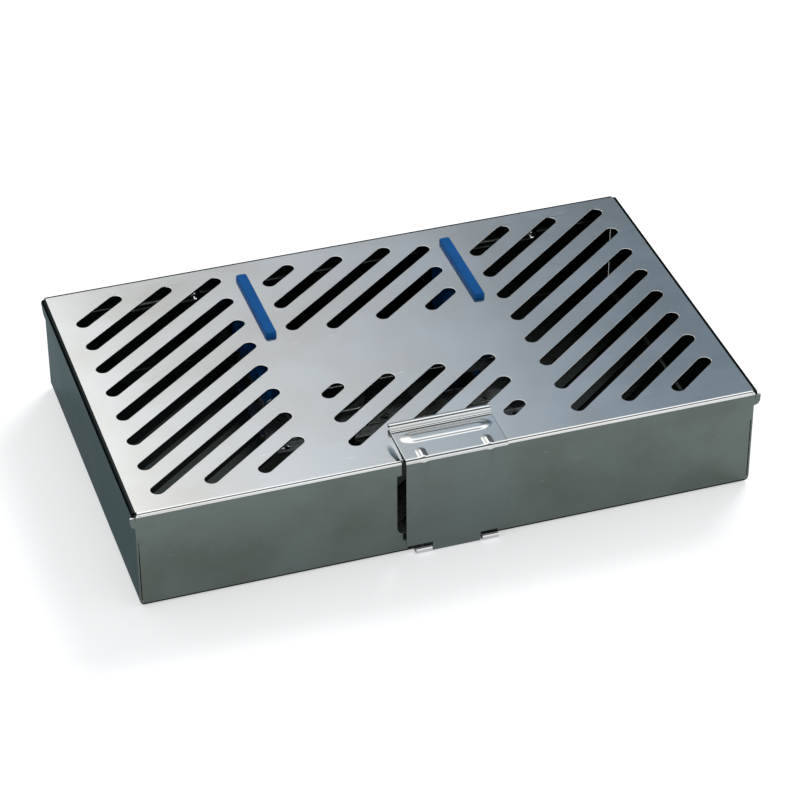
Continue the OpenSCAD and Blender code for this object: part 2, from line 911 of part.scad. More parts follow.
// A grid of wash holes centred on the box, as an outline
module wash_holes() {
    columns = floor((box_w - 4) / box_hole_pitch);
    rows = floor((box_d - 4) / box_hole_pitch);
    for (column = [0 : columns - 1])
        for (row = [0 : rows - 1])
            translate([(column - (columns - 1) / 2) * box_hole_pitch, (row - (rows - 1) / 2) * box_hole_pitch])
                circle(box_hole_r);
}

module parts_box() {
    outer_w = box_w / 2;
    knuckle_w = (box_w - box_knuckle_w) / 2 - knuckle_play - 4;
    color(steel)
        difference() {
            union() {
                block([box_x - outer_w, box_y - box_d / 2, floor_z],
                    [box_x + outer_w, box_y + box_d / 2, floor_z + box_h - box_t - fit]);
                // Knuckles at both ends of the rear wall
                for (side = [-1, 1])
                    translate([box_x + side * (box_knuckle_w / 2 + knuckle_play + knuckle_w / 2), 0, 0])
                        along_x(-knuckle_w / 2, knuckle_w / 2) {
                            translate([box_hinge_y, box_hinge_z])
                                curl(box_axis_r, box_pin_r + pin_gap, 60, 172);
                            translate([box_y + box_d / 2 - box_t, box_hinge_z - box_axis_r])
                                square([box_t + fit + box_axis_r, box_t]);
                        }
            }
            block([box_x - outer_w + box_t, box_y - box_d / 2 + box_t, floor_z + box_t],
                [box_x + outer_w - box_t, box_y + box_d / 2 - box_t, floor_z + box_h + over]);
            translate([box_x, box_y, floor_z - over])
                linear_extrude(box_t + 2 * over)
                    wash_holes();
        }
}

// The box's lid, with a knuckle behind and a finger tab in front
module parts_box_lid() {
    top = floor_z + box_h;
    color("gainsboro")
        difference() {
            union() {
                block([box_x - box_w / 2, box_y - box_d / 2 - 1.5, top - box_t],
                    [box_x + box_w / 2, box_y + box_d / 2, top]);
                along_x(box_x - box_knuckle_w / 2, box_x + box_knuckle_w / 2) {
                    translate([box_hinge_y, box_hinge_z])
                        curl(box_axis_r, box_pin_r + pin_gap, 98, 210);
                    translate([box_y + box_d / 2 - box_t, top - box_t])
                        square([box_t + fit + box_axis_r, box_t]);
                }
            }
            translate([box_x, box_y, top - box_t - over])
                linear_extrude(box_t + 2 * over)
                    wash_holes();
        }
}

module parts_box_pin() {
    pin(box_x, box_hinge_y, box_hinge_z, box_w - 8, box_pin_r);
}

tray_shell();
lid_shell();
latch_clip();
hinge_pin(-1);  // hinge_pin_left
hinge_pin(1);  // hinge_pin_right
hold_down(-band_x);  // hold_down_left
hold_down(band_x);  // hold_down_right
rack(-1);  // rack_left
rack(1);  // rack_right
comb(-1);  // comb_left
comb(1);  // comb_right
rack_rivets();
divider();
divider_rivets();
spring_clips();
clip_rivets();
tip_stand();
tip_grommets();
stand_rivets();
parts_box();
parts_box_lid();
parts_box_pin();
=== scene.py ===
"""The looks of a dental instrument cassette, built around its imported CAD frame.

The case is bent stainless sheet with slanted wash slots, a spring latch in
front and two blue silicone bars on the lid. Every piece is modelled in
millimetres and is turned to metres when it is finished.
"""

import logging
import math
from collections.abc import Callable
from dataclasses import dataclass, field
from enum import Enum

import bpy
from mathutils import Matrix, Vector


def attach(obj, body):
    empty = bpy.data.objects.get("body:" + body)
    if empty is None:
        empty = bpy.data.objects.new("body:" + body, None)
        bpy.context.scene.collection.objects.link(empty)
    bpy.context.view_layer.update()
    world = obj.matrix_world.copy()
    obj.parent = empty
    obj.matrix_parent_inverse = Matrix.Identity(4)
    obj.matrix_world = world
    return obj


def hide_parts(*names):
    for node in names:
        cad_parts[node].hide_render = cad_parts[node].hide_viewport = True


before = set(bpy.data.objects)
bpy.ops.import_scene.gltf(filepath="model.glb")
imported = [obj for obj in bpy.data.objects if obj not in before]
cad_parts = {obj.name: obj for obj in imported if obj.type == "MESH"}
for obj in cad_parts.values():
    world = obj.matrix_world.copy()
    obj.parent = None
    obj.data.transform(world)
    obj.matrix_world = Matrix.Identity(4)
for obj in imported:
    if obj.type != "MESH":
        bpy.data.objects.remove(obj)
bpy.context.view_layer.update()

MM = 0.001
# Lengths in millimetres: what counts as the same place, as a long edge, and a cutter's overhang
SLACK = 0.01
LONG = 1.0
PAST = 1.0
# A rounding by the full half width would leave edges of no length
ALMOST = 0.999
# Shares of a face's normal: of one that lies level, and of one that leans at all
LEVEL = 0.97
TILT = 0.05
# Degrees: what still lies in one plane, what is a sharp edge, and what is shaded smoothly
FLAT_DEG = 0.3
SHARP_DEG = 40.0
SMOOTH_DEG = 38.0
# The facets of a bend or a rounding, and of a full round, where no other number is given
ARC_FACETS = 6
ROUND_FACETS = 32
SIDES = (-1, 1)
# The two inputs and the output of a Mix node that mixes colours, and the band most noise lies in
MIX_A, MIX_B, MIX_OUT = 6, 7, 2
NOISE_BAND = (0.3, 0.7)

logging.basicConfig(level=logging.INFO, format="%(levelname)s %(message)s")
log = logging.getLogger("cassette")


# Colour and node helpers


def linear(hex_colour: str) -> tuple[float, float, float, float]:
    """Turn an sRGB hex colour to linear light.

    Args:
        hex_colour: Six hex digits, such as "C8CCD0".

    Returns:
        Linear red, green, blue and an alpha of 1.
    """
    values = [int(hex_colour[i:i + 2], 16) / 255 for i in (0, 2, 4)]
    # The curve of sRGB, with its straight foot
    made = [v / 12.92 if v <= 0.04045 else ((v + 0.055) / 1.055) ** 2.4 for v in values]
    return (*made, 1.0)


def dim(colour: tuple[float, ...], share: float) -> tuple[float, float, float, float]:
    """Scale a linear colour and keep its alpha at 1."""
    return (*(value * share for value in colour[:3]), 1.0)


def add_node(
        tree: bpy.types.NodeTree, kind: str,
        settings: dict | None = None, inputs: dict | None = None) -> bpy.types.Node:
    """Add one node with its settings, constant inputs and links.

    Args:
        tree: The node tree that gets the node.
        kind: The node's type name without the leading "ShaderNode".
        settings: Attribute values, such as the operation of a maths node.
        inputs: Values or output sockets for the inputs, by name or number.

    Returns:
        The new node.
    """
    node = tree.nodes.new("ShaderNode" + kind)
    for name, value in (settings or {}).items():
        setattr(node, name, value)
    for name, value in (inputs or {}).items():
        socket = node.inputs[name]
        if isinstance(value, bpy.types.NodeSocket):
            tree.links.new(value, socket)
        else:
            socket.default_value = value
    return node


def set_ramp(node: bpy.types.Node, stops: list[tuple[float, tuple]]) -> bpy.types.Node:
    """Give a colour ramp its stops.

    Args:
        node: The colour ramp node.
        stops: Positions with their linear colours, from low to high.

    Returns:
        The same node.
    """
    elements = node.color_ramp.elements
    while len(elements) < len(stops):
        elements.new(1.0)
    for element, (position, colour) in zip(elements, stops):
        element.position = position
        element.color = colour
    return node


def start_material(name: str) -> tuple[bpy.types.Material, bpy.types.Node, bpy.types.NodeSocket]:
    """Start a material on its principled shader.

    Args:
        name: The material's name.

    Returns:
        The material, its shader and the socket that gives the place on the piece.
    """
    material = bpy.data.materials.new(name)
    material.use_nodes = True
    place = add_node(material.node_tree, "TexCoord").outputs["Object"]
    return material, material.node_tree.nodes["Principled BSDF"], place


# Finishes


@dataclass(frozen=True)
class SatinSteel:
    """Cold-rolled stainless sheet with a satin skin, washed and handled often.

    The eye gets a soft sheen, faint rolling grain along the sheet, cloudy wipe
    marks and a few short bright scratches.
    """

    name: str
    colour: str
    roughness: float
    slot: str
    # Rolling lines lie under a tenth of a millimetre apart, drawn coarser so that they show
    grain_mm: float = 0.4
    grain_stretch: float = 50.0
    grain_sheen: float = 0.025
    grain_detail: float = 3.0
    grain_rough: float = 0.6
    cloud_mm: float = 45.0
    cloud_share: float = 0.93
    cloud_warmth: tuple[float, float, float] = (1.03, 1.0, 0.96)
    cloud_sheen: float = 0.12
    cloud_detail: float = 4.0
    cloud_rough: float = 0.55
    cloud_band: tuple[float, float] = (0.38, 0.62)
    scratch_mm: float = 1.25
    scratch_turn: tuple[float, float, float] = (0.3, 0.2, 0.35)
    scratch_squeeze: float = 0.12
    scratch_from: float = 0.76
    scratch_fade: float = 0.03
    scratch_most: float = 0.8
    scratch_gleam: float = 1.25
    relief: float = 0.35
    relief_mm: float = 0.002
    edge_gleam: tuple[float, float, float] = (0.9, 0.9, 0.9)

    def make(self) -> bpy.types.Material:
        """Build the material's nodes.

        Returns:
            The finished material.
        """
        material, shader, place = start_material(self.name)
        tree = material.node_tree
        grain = self.grain(tree, place)
        cloud = add_node(tree, "TexNoise", {}, {
            "Vector": place, "Scale": 1 / (self.cloud_mm * MM),
            "Detail": self.cloud_detail, "Roughness": self.cloud_rough}).outputs["Fac"]
        scratch = self.scratches(tree, place)
        base = linear(self.colour)
        # Old wipe marks dry a little warmer than the clean steel
        wiped = dim(base, self.cloud_share)
        stained = (*(value * share for value, share in zip(wiped, self.cloud_warmth)), 1.0)
        tint = set_ramp(add_node(tree, "ValToRGB", {}, {"Fac": cloud}), [
            *zip(self.cloud_band, (stained, base))])
        marked = add_node(tree, "Mix", {"data_type": "RGBA"}, {
            "Factor": scratch, MIX_A: tint.outputs["Color"], MIX_B: dim(base, self.scratch_gleam)})
        rough = add_node(tree, "MapRange", {}, {
            "Value": cloud, "From Min": NOISE_BAND[0], "From Max": NOISE_BAND[1],
            "To Min": self.roughness * (1 - self.cloud_sheen),
            "To Max": self.roughness * (1 + self.cloud_sheen)})
        fine = add_node(tree, "MapRange", {}, {
            "Value": grain, "From Min": NOISE_BAND[0], "From Max": NOISE_BAND[1],
            "To Min": -self.grain_sheen, "To Max": self.grain_sheen})
        both = add_node(tree, "Math", {"operation": "ADD"}, {
            0: rough.outputs["Result"], 1: fine.outputs["Result"]})
        relief = add_node(tree, "Math", {"operation": "SUBTRACT"}, {0: grain, 1: scratch})
        # The grain's real height is under a micrometre, drawn at two so that it shows
        bump = add_node(tree, "Bump", {}, {
            "Strength": self.relief, "Distance": self.relief_mm * MM, "Height": relief.outputs["Value"]})
        tree.links.new(marked.outputs[MIX_OUT], shader.inputs["Base Color"])
        tree.links.new(both.outputs["Value"], shader.inputs["Roughness"])
        tree.links.new(bump.outputs["Normal"], shader.inputs["Normal"])
        shader.inputs["Metallic"].default_value = 1.0
        # The skin left by the rolls takes off some of the gleam at a flat angle; the darkened finishes take
        # off more, as painted shade
        shader.inputs["Specular Tint"].default_value = (*self.edge_gleam, 1.0)
        return material

    def grain(self, tree: bpy.types.NodeTree, place: bpy.types.NodeSocket) -> bpy.types.NodeSocket:
        """Draw the rolling grain, stretched along X.

        Args:
            tree: The material's node tree.
            place: The socket that gives the place on the piece.

        Returns:
            The grain's height, from 0 to 1.
        """
        along = add_node(tree, "Mapping", {}, {"Vector": place, "Scale": (1 / self.grain_stretch, 1.0, 1.0)})
        return add_node(tree, "TexNoise", {}, {
            "Vector": along.outputs["Vector"], "Scale": 1 / (self.grain_mm * MM),
            "Detail": self.grain_detail, "Roughness": self.grain_rough}).outputs["Fac"]

    def scratches(self, tree: bpy.types.NodeTree, place: bpy.types.NodeSocket) -> bpy.types.NodeSocket:
        """Pick out sparse short scratches that lie a little across the grain.

        Args:
            tree: The material's node tree.
            place: The socket that gives the place on the piece.

        Returns:
            A mask that is 1 on a scratch.
        """
        turned = add_node(tree, "Mapping", {}, {
            "Vector": place, "Rotation": self.scratch_turn, "Scale": (self.scratch_squeeze, 1.0, 1.0)})
        marks = add_node(tree, "TexNoise", {}, {
            "Vector": turned.outputs["Vector"], "Scale": 1 / (self.scratch_mm * MM),
            "Detail": 1.0, "Roughness": 0.5})
        return add_node(tree, "MapRange", {}, {
            "Value": marks.outputs["Fac"], "From Min": self.scratch_from,
            "From Max": self.scratch_from + self.scratch_fade,
            "To Min": 0.0, "To Max": self.scratch_most}).outputs["Result"]


@dataclass(frozen=True)
class Silicone:
    """Silicone rubber, moulded and then tumbled, which leaves a dull skin with fine dimples."""

    name: str
    colour: str
    roughness: float = 0.55
    ior: float = 1.41
    gleam: float = 0.2
    dimple_mm: float = 0.7
    dimple_depth_mm: float = 0.03
    dimple_strength: float = 0.3
    cloud_mm: float = 8.0
    cloud_share: float = 0.82
    slot: str = "silicone"

    def make(self) -> bpy.types.Material:
        """Build the material's nodes.

        Returns:
            The finished material.
        """
        material, shader, place = start_material(self.name)
        tree = material.node_tree
        dimple = add_node(tree, "TexNoise", {}, {
            "Vector": place, "Scale": 1 / (self.dimple_mm * MM), "Detail": 2.0})
        cloud = add_node(tree, "TexNoise", {}, {
            "Vector": place, "Scale": 1 / (self.cloud_mm * MM), "Detail": 3.0})
        base = linear(self.colour)
        tint = set_ramp(add_node(tree, "ValToRGB", {}, {"Fac": cloud.outputs["Fac"]}), [
            *zip(NOISE_BAND, (dim(base, self.cloud_share), base))])
        bump = add_node(tree, "Bump", {}, {
            "Strength": self.dimple_strength, "Distance": self.dimple_depth_mm * MM,
            "Height": dimple.outputs["Fac"]})
        tree.links.new(tint.outputs["Color"], shader.inputs["Base Color"])
        tree.links.new(bump.outputs["Normal"], shader.inputs["Normal"])
        shader.inputs["Roughness"].default_value = self.roughness
        shader.inputs["IOR"].default_value = self.ior
        shader.inputs["Specular IOR Level"].default_value = self.gleam
        return material


class Finish(Enum):
    """The finishes of the cassette: most by their real material and making, some darker or lighter copies
    that paint shade or light.
    """

    # Pale and softly mirroring, as the lid's top: the lit copy of the sheet whose flanges take the copy
    # darkened as painted shade
    SATIN = SatinSteel("Satin stainless sheet, lit copy", "D2D5D6", 0.17, "brushed_steel", relief=0.15)
    # Dull grey-green walls and flanges with clear wipe marks, darkened with painted shade, and a low edge
    # gleam that paints them darker at a flat angle
    MILL = SatinSteel("Stainless sheet darkened as painted shade", "646E6B", 0.25, "brushed_steel", cloud_mm=28.0,
                      cloud_share=0.84, edge_gleam=(0.24, 0.29, 0.31))
    # The thin dark line along a pressed bend, painted shade
    BEND = SatinSteel("Stainless sheet darkened with painted bend shade", "2A2F30", 0.3, "brushed_steel",
                      relief=0.2, edge_gleam=(0.15, 0.16, 0.17))
    # Flat and dark, painted shade inside the tray, so that little shows through the slots
    INNER = SatinSteel("Stainless sheet darkened as painted shade, inside", "525A58", 0.3, "brushed_steel",
                       edge_gleam=(0.3, 0.33, 0.35))
    # Even mid grey with small clouds, on the pieces inside
    PLATE = SatinSteel("Tumbled stainless sheet", "A9AFB1", 0.26, "brushed_steel", cloud_mm=20.0, relief=0.2)
    # As the walls, darkened with painted shade, with a finer grain and more gleam
    SPRING = SatinSteel("Stainless spring sheet darkened as painted shade", "626C6B", 0.2, "spring_steel", grain_mm=0.3,
                        cloud_mm=28.0, cloud_share=0.88, edge_gleam=(0.6, 0.62, 0.64))
    # Brighter on the latch's lip: the lit copy of the latch's sheet, painted light
    LIP = SatinSteel("Stainless spring sheet, lit copy", "C6CBCD", 0.16, "spring_steel", grain_mm=0.3,
                     relief=0.2)
    # Small bright rounds: pins and rivets, and the tray's curls, where it is a painted highlight
    BRIGHT = SatinSteel("Drawn stainless wire and rivets", "C4C8CA", 0.16, "polished_steel", cloud_mm=8.0)
    # Clear mid blue, dull and a little cloudy
    BLUE = Silicone("Moulded blue silicone", "00599F")
    # Soft grey, in the tip stand's grommets
    GREY = Silicone("Moulded grey silicone", "6E7376")


# The finished materials, one for each finish
MADE: dict[Finish, bpy.types.Material] = {}


# Modelling helpers

# Picks faces or vertices by middle and normal, and edges by middle and run
Test = Callable[[Vector, Vector], bool]


def leave_edit() -> None:
    """Go back to object mode."""
    if bpy.context.mode != "OBJECT":
        bpy.ops.object.mode_set(mode="OBJECT")


def only(obj: bpy.types.Object) -> None:
    """Leave edit mode, then select and activate one object."""
    leave_edit()
    bpy.ops.object.select_all(action="DESELECT")
    obj.select_set(True)
    bpy.context.view_layer.objects.active = obj


def hold(obj: bpy.types.Object) -> bpy.types.Object:
    """Hold an object's place, turn and scale in its mesh."""
    only(obj)
    bpy.ops.object.transform_apply(location=True, rotation=True, scale=True)
    return obj


def extrude(move: tuple) -> None:
    """Extrude what is selected by a move."""
    bpy.ops.mesh.extrude_region_move(TRANSFORM_OT_translate={"value": move})


def pick(obj: bpy.types.Object, kind: str, test: Test) -> None:
    """Select vertices, edges or faces by place or direction, and stay in edit mode.

    Args:
        obj: The mesh object.
        kind: "VERT", "EDGE" or "FACE".
        test: Is given the middle, and the normal or, for an edge, its run.
    """
    only(obj)
    bpy.context.tool_settings.mesh_select_mode = (kind == "VERT", kind == "EDGE", kind == "FACE")
    mesh = obj.data
    for group in (mesh.vertices, mesh.edges, mesh.polygons):
        group.foreach_set("select", [False] * len(group))
    if kind == "VERT":
        for vertex in mesh.vertices:
            vertex.select = test(vertex.co, vertex.normal)
    elif kind == "EDGE":
        for edge in mesh.edges:
            a, b = (mesh.vertices[i].co for i in edge.vertices)
            edge.select = test((a + b) / 2, b - a)
    else:
        for face in mesh.polygons:
            face.select = test(face.center, face.normal)
    bpy.ops.object.mode_set(mode="EDIT")


def ease(share: float) -> float:
    """Fall smoothly from 1 at a share of 0 to 0 at a share of 1."""
    held = min(1.0, max(0.0, share))
    return (1 + math.cos(math.pi * held)) / 2


def near(a: float, b: float) -> bool:
    """Tell whether two lengths in millimetres are the same."""
    return abs(a - b) < SLACK


def block(low: tuple, high: tuple) -> bpy.types.Object:
    """Add a block between two opposite corners.

    Args:
        low: The lowest corner.
        high: The highest corner.

    Returns:
        The block, its place held in its mesh.
    """
    leave_edit()
    middle = [(a + b) / 2 for a, b in zip(low, high)]
    size = [b - a for a, b in zip(low, high)]
    bpy.ops.mesh.primitive_cube_add(size=1, location=middle, scale=size)
    return hold(bpy.context.active_object)


def slab(x: float, y: float, width: float, depth: float, low: float, high: float) -> bpy.types.Object:
    """Add a block by its plan and its two levels.

    Args:
        x: The plan's middle along X.
        y: The plan's middle along Y.
        width: The plan's size along X.
        depth: The plan's size along Y.
        low: The height of the underside.
        high: The height of the top.

    Returns:
        The block, its place held in its mesh.
    """
    return block((x - width / 2, y - depth / 2, low), (x + width / 2, y + depth / 2, high))


def rod(middle: tuple, radius: float, length: float, axis: str = "X",
        sides: int = ROUND_FACETS) -> bpy.types.Object:
    """Add a round rod along X or Z.

    Args:
        middle: The rod's middle.
        radius: Its radius.
        length: Its length.
        axis: "X" or "Z".
        sides: The number of its facets.

    Returns:
        The rod, its place held in its mesh.
    """
    leave_edit()
    turn = (0, math.pi / 2, 0) if axis == "X" else (0, 0, 0)
    bpy.ops.mesh.primitive_cylinder_add(
        vertices=sides, radius=radius, depth=length, location=middle, rotation=turn)
    return hold(bpy.context.active_object)


def round_edges(obj: bpy.types.Object, test: Test, radius: float, steps: int = ARC_FACETS) -> None:
    """Round the edges of a mesh that pass a test.

    Args:
        obj: The mesh object.
        test: Is given an edge's middle and run.
        radius: The radius of the rounding.
        steps: The number of facets across it.
    """
    pick(obj, "EDGE", test)
    bpy.ops.mesh.bevel(offset=radius, segments=steps, affect="EDGES", clamp_overlap=False)
    bpy.ops.mesh.select_all(action="SELECT")
    bpy.ops.mesh.remove_doubles(threshold=SLACK / 2)
    leave_edit()


def combine(target: bpy.types.Object, tool: bpy.types.Object, operation: str = "DIFFERENCE") -> None:
    """Cut a tool from a target, or join or intersect the two, and drop the tool.

    Args:
        target: The object that keeps the result.
        tool: The other object.
        operation: "DIFFERENCE", "UNION" or "INTERSECT".
    """
    only(target)
    modifier = target.modifiers.new("combine", "BOOLEAN")
    modifier.operation = operation
    modifier.object = tool
    modifier.solver = "MANIFOLD"
    bpy.ops.object.modifier_apply(modifier=modifier.name)
    bpy.data.objects.remove(tool)


def join(pieces: list[bpy.types.Object]) -> bpy.types.Object:
    """Join separate meshes to one object.

    Args:
        pieces: The objects, of which the first stays.

    Returns:
        The joined object.
    """
    only(pieces[0])
    for piece in pieces[1:]:
        piece.select_set(True)
    bpy.ops.object.join()
    return pieces[0]


def repeat(obj: bpy.types.Object, spots: list[tuple[float, float]]) -> bpy.types.Object:
    """Copy a piece that was made over the origin to several spots, each copy with its own mesh.

    Args:
        obj: The piece, which is dropped.
        spots: The copies' places in x and y.

    Returns:
        The copies, joined to one object.
    """
    copies = []
    for x, y in spots:
        copy = obj.copy()
        copy.data = obj.data.copy()
        copy.data.transform(Matrix.Translation((x, y, 0)))
        bpy.context.collection.objects.link(copy)
        copies.append(copy)
    bpy.data.objects.remove(obj)
    return join(copies)


def face_outwards(obj: bpy.types.Object) -> None:
    """Merge doubled points and turn all faces outwards."""
    pick(obj, "FACE", lambda middle, normal: True)
    bpy.ops.mesh.remove_doubles(threshold=SLACK / 10)
    bpy.ops.mesh.normals_make_consistent(inside=False)
    leave_edit()


def thicken(obj: bpy.types.Object, thickness: float) -> None:
    """Give a middle surface the sheet's thickness, half to each side.

    Args:
        obj: The open surface.
        thickness: The sheet's thickness.
    """
    only(obj)
    modifier = obj.modifiers.new("sheet", "SOLIDIFY")
    modifier.thickness = thickness
    modifier.offset = 0
    modifier.use_even_offset = True
    bpy.ops.object.modifier_apply(modifier=modifier.name)
    face_outwards(obj)


def flatten(obj: bpy.types.Object) -> None:
    """Merge the faces that lie in one plane."""
    pick(obj, "FACE", lambda middle, normal: True)
    bpy.ops.mesh.dissolve_limited(angle_limit=math.radians(FLAT_DEG))
    leave_edit()


def soften(obj: bpy.types.Object, width: float, steps: int = 2, crease: Test | None = None) -> None:
    """Break the sharp edges and shade the mesh smoothly between flat faces.

    Args:
        obj: The closed mesh.
        width: The width of the broken edge.
        steps: The number of facets across it.
        crease: Picks edges by their middle and run that end a flat face, which stays flat.
    """
    only(obj)
    edge = obj.modifiers.new("edge", "BEVEL")
    edge.width = width
    edge.segments = steps
    edge.limit_method = "ANGLE"
    edge.angle_limit = math.radians(SHARP_DEG)
    edge.use_clamp_overlap = False
    bpy.ops.object.modifier_apply(modifier=edge.name)
    bpy.ops.object.shade_smooth_by_angle(angle=math.radians(SMOOTH_DEG))
    if crease:
        pick(obj, "EDGE", crease)
        bpy.ops.mesh.mark_sharp()
        leave_edit()
    weight = obj.modifiers.new("flat faces", "WEIGHTED_NORMAL")
    weight.keep_sharp = True
    bpy.ops.object.modifier_apply(modifier=weight.name)


def lathe(profile: list[tuple[float, float]], steps: int = ROUND_FACETS) -> bpy.types.Object:
    """Turn a solid from its profile.

    Args:
        profile: Radius and height of each corner, either closed or with both ends on the axis.
        steps: The number of facets round the axis.

    Returns:
        The solid, its axis on the Z axis.
    """
    leave_edit()
    radius, z = profile[0]
    bpy.ops.mesh.primitive_plane_add(size=1, location=(radius, 0, z))
    obj = hold(bpy.context.active_object)
    pick(obj, "VERT", lambda place, normal: True)
    bpy.ops.mesh.merge(type="CENTER")
    bpy.ops.mesh.select_all(action="SELECT")
    for (radius_a, z_a), (radius_b, z_b) in zip(profile, profile[1:]):
        extrude((radius_b - radius_a, 0, z_b - z_a))
    bpy.ops.mesh.select_all(action="SELECT")
    bpy.ops.mesh.spin(steps=steps, angle=2 * math.pi, center=(0, 0, 0), axis=(0, 0, 1))
    leave_edit()
    face_outwards(obj)
    return obj


def swing(obj: bpy.types.Object, angle: float) -> None:
    """Turn an object about the Z axis by degrees and hold the turn in its mesh."""
    obj.rotation_euler = (0, 0, math.radians(angle))
    hold(obj)


def round_corners(obj: bpy.types.Object, radius: float) -> None:
    """Round the four end corners of a strip's middle surface.

    Args:
        obj: The open surface.
        radius: The radius of the corners.
    """
    only(obj)
    ends = {}
    for edge in obj.data.edges:
        for index in edge.vertices:
            ends[index] = ends.get(index, 0) + 1
    corners = [obj.data.vertices[index].co.copy() for index, count in ends.items() if count == 2]
    pick(obj, "VERT", lambda place, normal: any((place - corner).length < SLACK for corner in corners))
    bpy.ops.mesh.bevel(offset=radius, affect="VERTICES", segments=ARC_FACETS)
    leave_edit()


def settle(obj: bpy.types.Object, name: str, finish: Finish, body: str, *nodes: str) -> None:
    """Turn a piece to metres, dress it and give it its body and the nodes it stands for.

    Args:
        obj: The piece, modelled in millimetres.
        name: The piece's name.
        finish: Its finish.
        body: The body that it rides on.
        nodes: The CAD nodes that it replaces.
    """
    obj.name = name
    obj.scale = (MM, MM, MM)
    hold(obj)
    obj.data.materials.clear()
    obj.data.materials.append(MADE[finish])
    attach(obj, body)
    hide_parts(*nodes)
    log.info("%s: %d faces on %s", name, len(obj.data.polygons), body)


def complete(
        obj: bpy.types.Object, edge: float, name: str, finish: Finish,
        body: str = "tray", steps: int = 2) -> None:
    """Close and soften a piece, and settle it in place of the node of its name.

    Args:
        obj: The piece, modelled in millimetres.
        edge: The width of its broken edges.
        name: The name of the piece and of its node.
        finish: Its finish.
        body: The body that it rides on.
        steps: The number of facets across the broken edges.
    """
    face_outwards(obj)
    soften(obj, edge, steps)
    settle(obj, name, finish, body, name)


def dress(obj: bpy.types.Object, finish: Finish, test: Test) -> None:
    """Give some faces of a settled piece a second finish.

    Args:
        obj: The piece, in metres.
        finish: The second finish.
        test: Is given a face's middle in millimetres, and its normal.
    """
    obj.data.materials.append(MADE[finish])
    for face in obj.data.polygons:
        if test(face.center / MM, face.normal):
            face.material_index = len(obj.data.materials) - 1


@dataclass
class Strip:
    """A bent strip of sheet, grown from one edge along X by runs and turns.

    The strip's middle surface is drawn in the (y, z) plane. The heading is in
    degrees from +Y towards +Z, and a turn above zero goes to the left.
    """

    x_low: float
    x_high: float
    y: float
    z: float
    heading: float
    facet: float = 15.0
    obj: bpy.types.Object = field(init=False)

    def __post_init__(self) -> None:
        """Make the first edge and select it."""
        leave_edit()
        middle = ((self.x_low + self.x_high) / 2, self.y + 0.5, self.z)
        bpy.ops.mesh.primitive_plane_add(size=1, location=middle)
        self.obj = bpy.context.active_object
        self.obj.scale = (self.x_high - self.x_low, 1, 1)
        hold(self.obj)
        pick(self.obj, "VERT", lambda place, normal: place.y > self.y + 0.5)
        bpy.ops.mesh.delete(type="VERT")
        pick(self.obj, "EDGE", lambda middle, run: True)

    def run(self, length: float) -> "Strip":
        """Draw the strip straight on.

        Args:
            length: The length of the run.

        Returns:
            The strip.
        """
        heading = math.radians(self.heading)
        step = (0, length * math.cos(heading), length * math.sin(heading))
        extrude(step)
        self.y += step[1]
        self.z += step[2]
        return self

    def turn(self, radius: float, angle: float) -> "Strip":
        """Bend the strip round a radius.

        Args:
            radius: The radius of the middle surface.
            angle: The angle in degrees, above zero to the left.

        Returns:
            The strip.
        """
        side = math.copysign(1, angle)
        start = math.radians(self.heading)
        centre_y = self.y - side * radius * math.sin(start)
        centre_z = self.z + side * radius * math.cos(start)
        # Spin turns against the right-hand rule
        bpy.ops.mesh.spin(
            steps=max(3, math.ceil(abs(angle) / self.facet)), angle=-math.radians(angle),
            center=(0, centre_y, centre_z), axis=(1, 0, 0))
        self.heading += angle
        end = math.radians(self.heading)
        self.y = centre_y + side * radius * math.sin(end)
        self.z = centre_z - side * radius * math.cos(end)
        return self

    def sheet(self, thickness: float) -> bpy.types.Object:
        """Give the strip its thickness.

        Args:
            thickness: The sheet's thickness.

        Returns:
            The strip's object.
        """
        thicken(self.obj, thickness)
        return self.obj


def fold(obj: bpy.types.Object, test: Test, centre: tuple, axis: tuple, angle: float, drop: tuple) -> None:
    """Fold a flange off the edges that pass a test, round a bend and then straight on.

    Args:
        obj: The open middle surface.
        test: Is given an edge's middle and run.
        centre: A point on the bend's axis.
        axis: The direction of the bend's axis.
        angle: The bend in degrees, by the right-hand rule.
        drop: The way from the bend to the flange's far edge.
    """
    pick(obj, "EDGE", test)
    bpy.ops.mesh.spin(steps=ARC_FACETS, angle=-math.radians(angle), center=centre, axis=axis)
    extrude(drop)
    leave_edit()


def pull(obj: bpy.types.Object, test: Test, move: tuple) -> None:
    """Extrude the edges that pass a test.

    Args:
        obj: The open surface.
        test: Is given an edge's middle and run.
        move: The way that the edges are drawn out.
    """
    pick(obj, "EDGE", test)
    extrude(move)
    leave_edit()


def split(obj: bpy.types.Object, test: Test, place: tuple, normal: tuple) -> None:
    """Cut the faces that pass a test along a plane, and keep both sides.

    Args:
        obj: The open surface.
        test: Is given a face's middle and normal.
        place: A point on the plane.
        normal: The plane's normal.
    """
    pick(obj, "FACE", test)
    bpy.ops.mesh.bisect(plane_co=place, plane_no=normal)
    leave_edit()


# Case


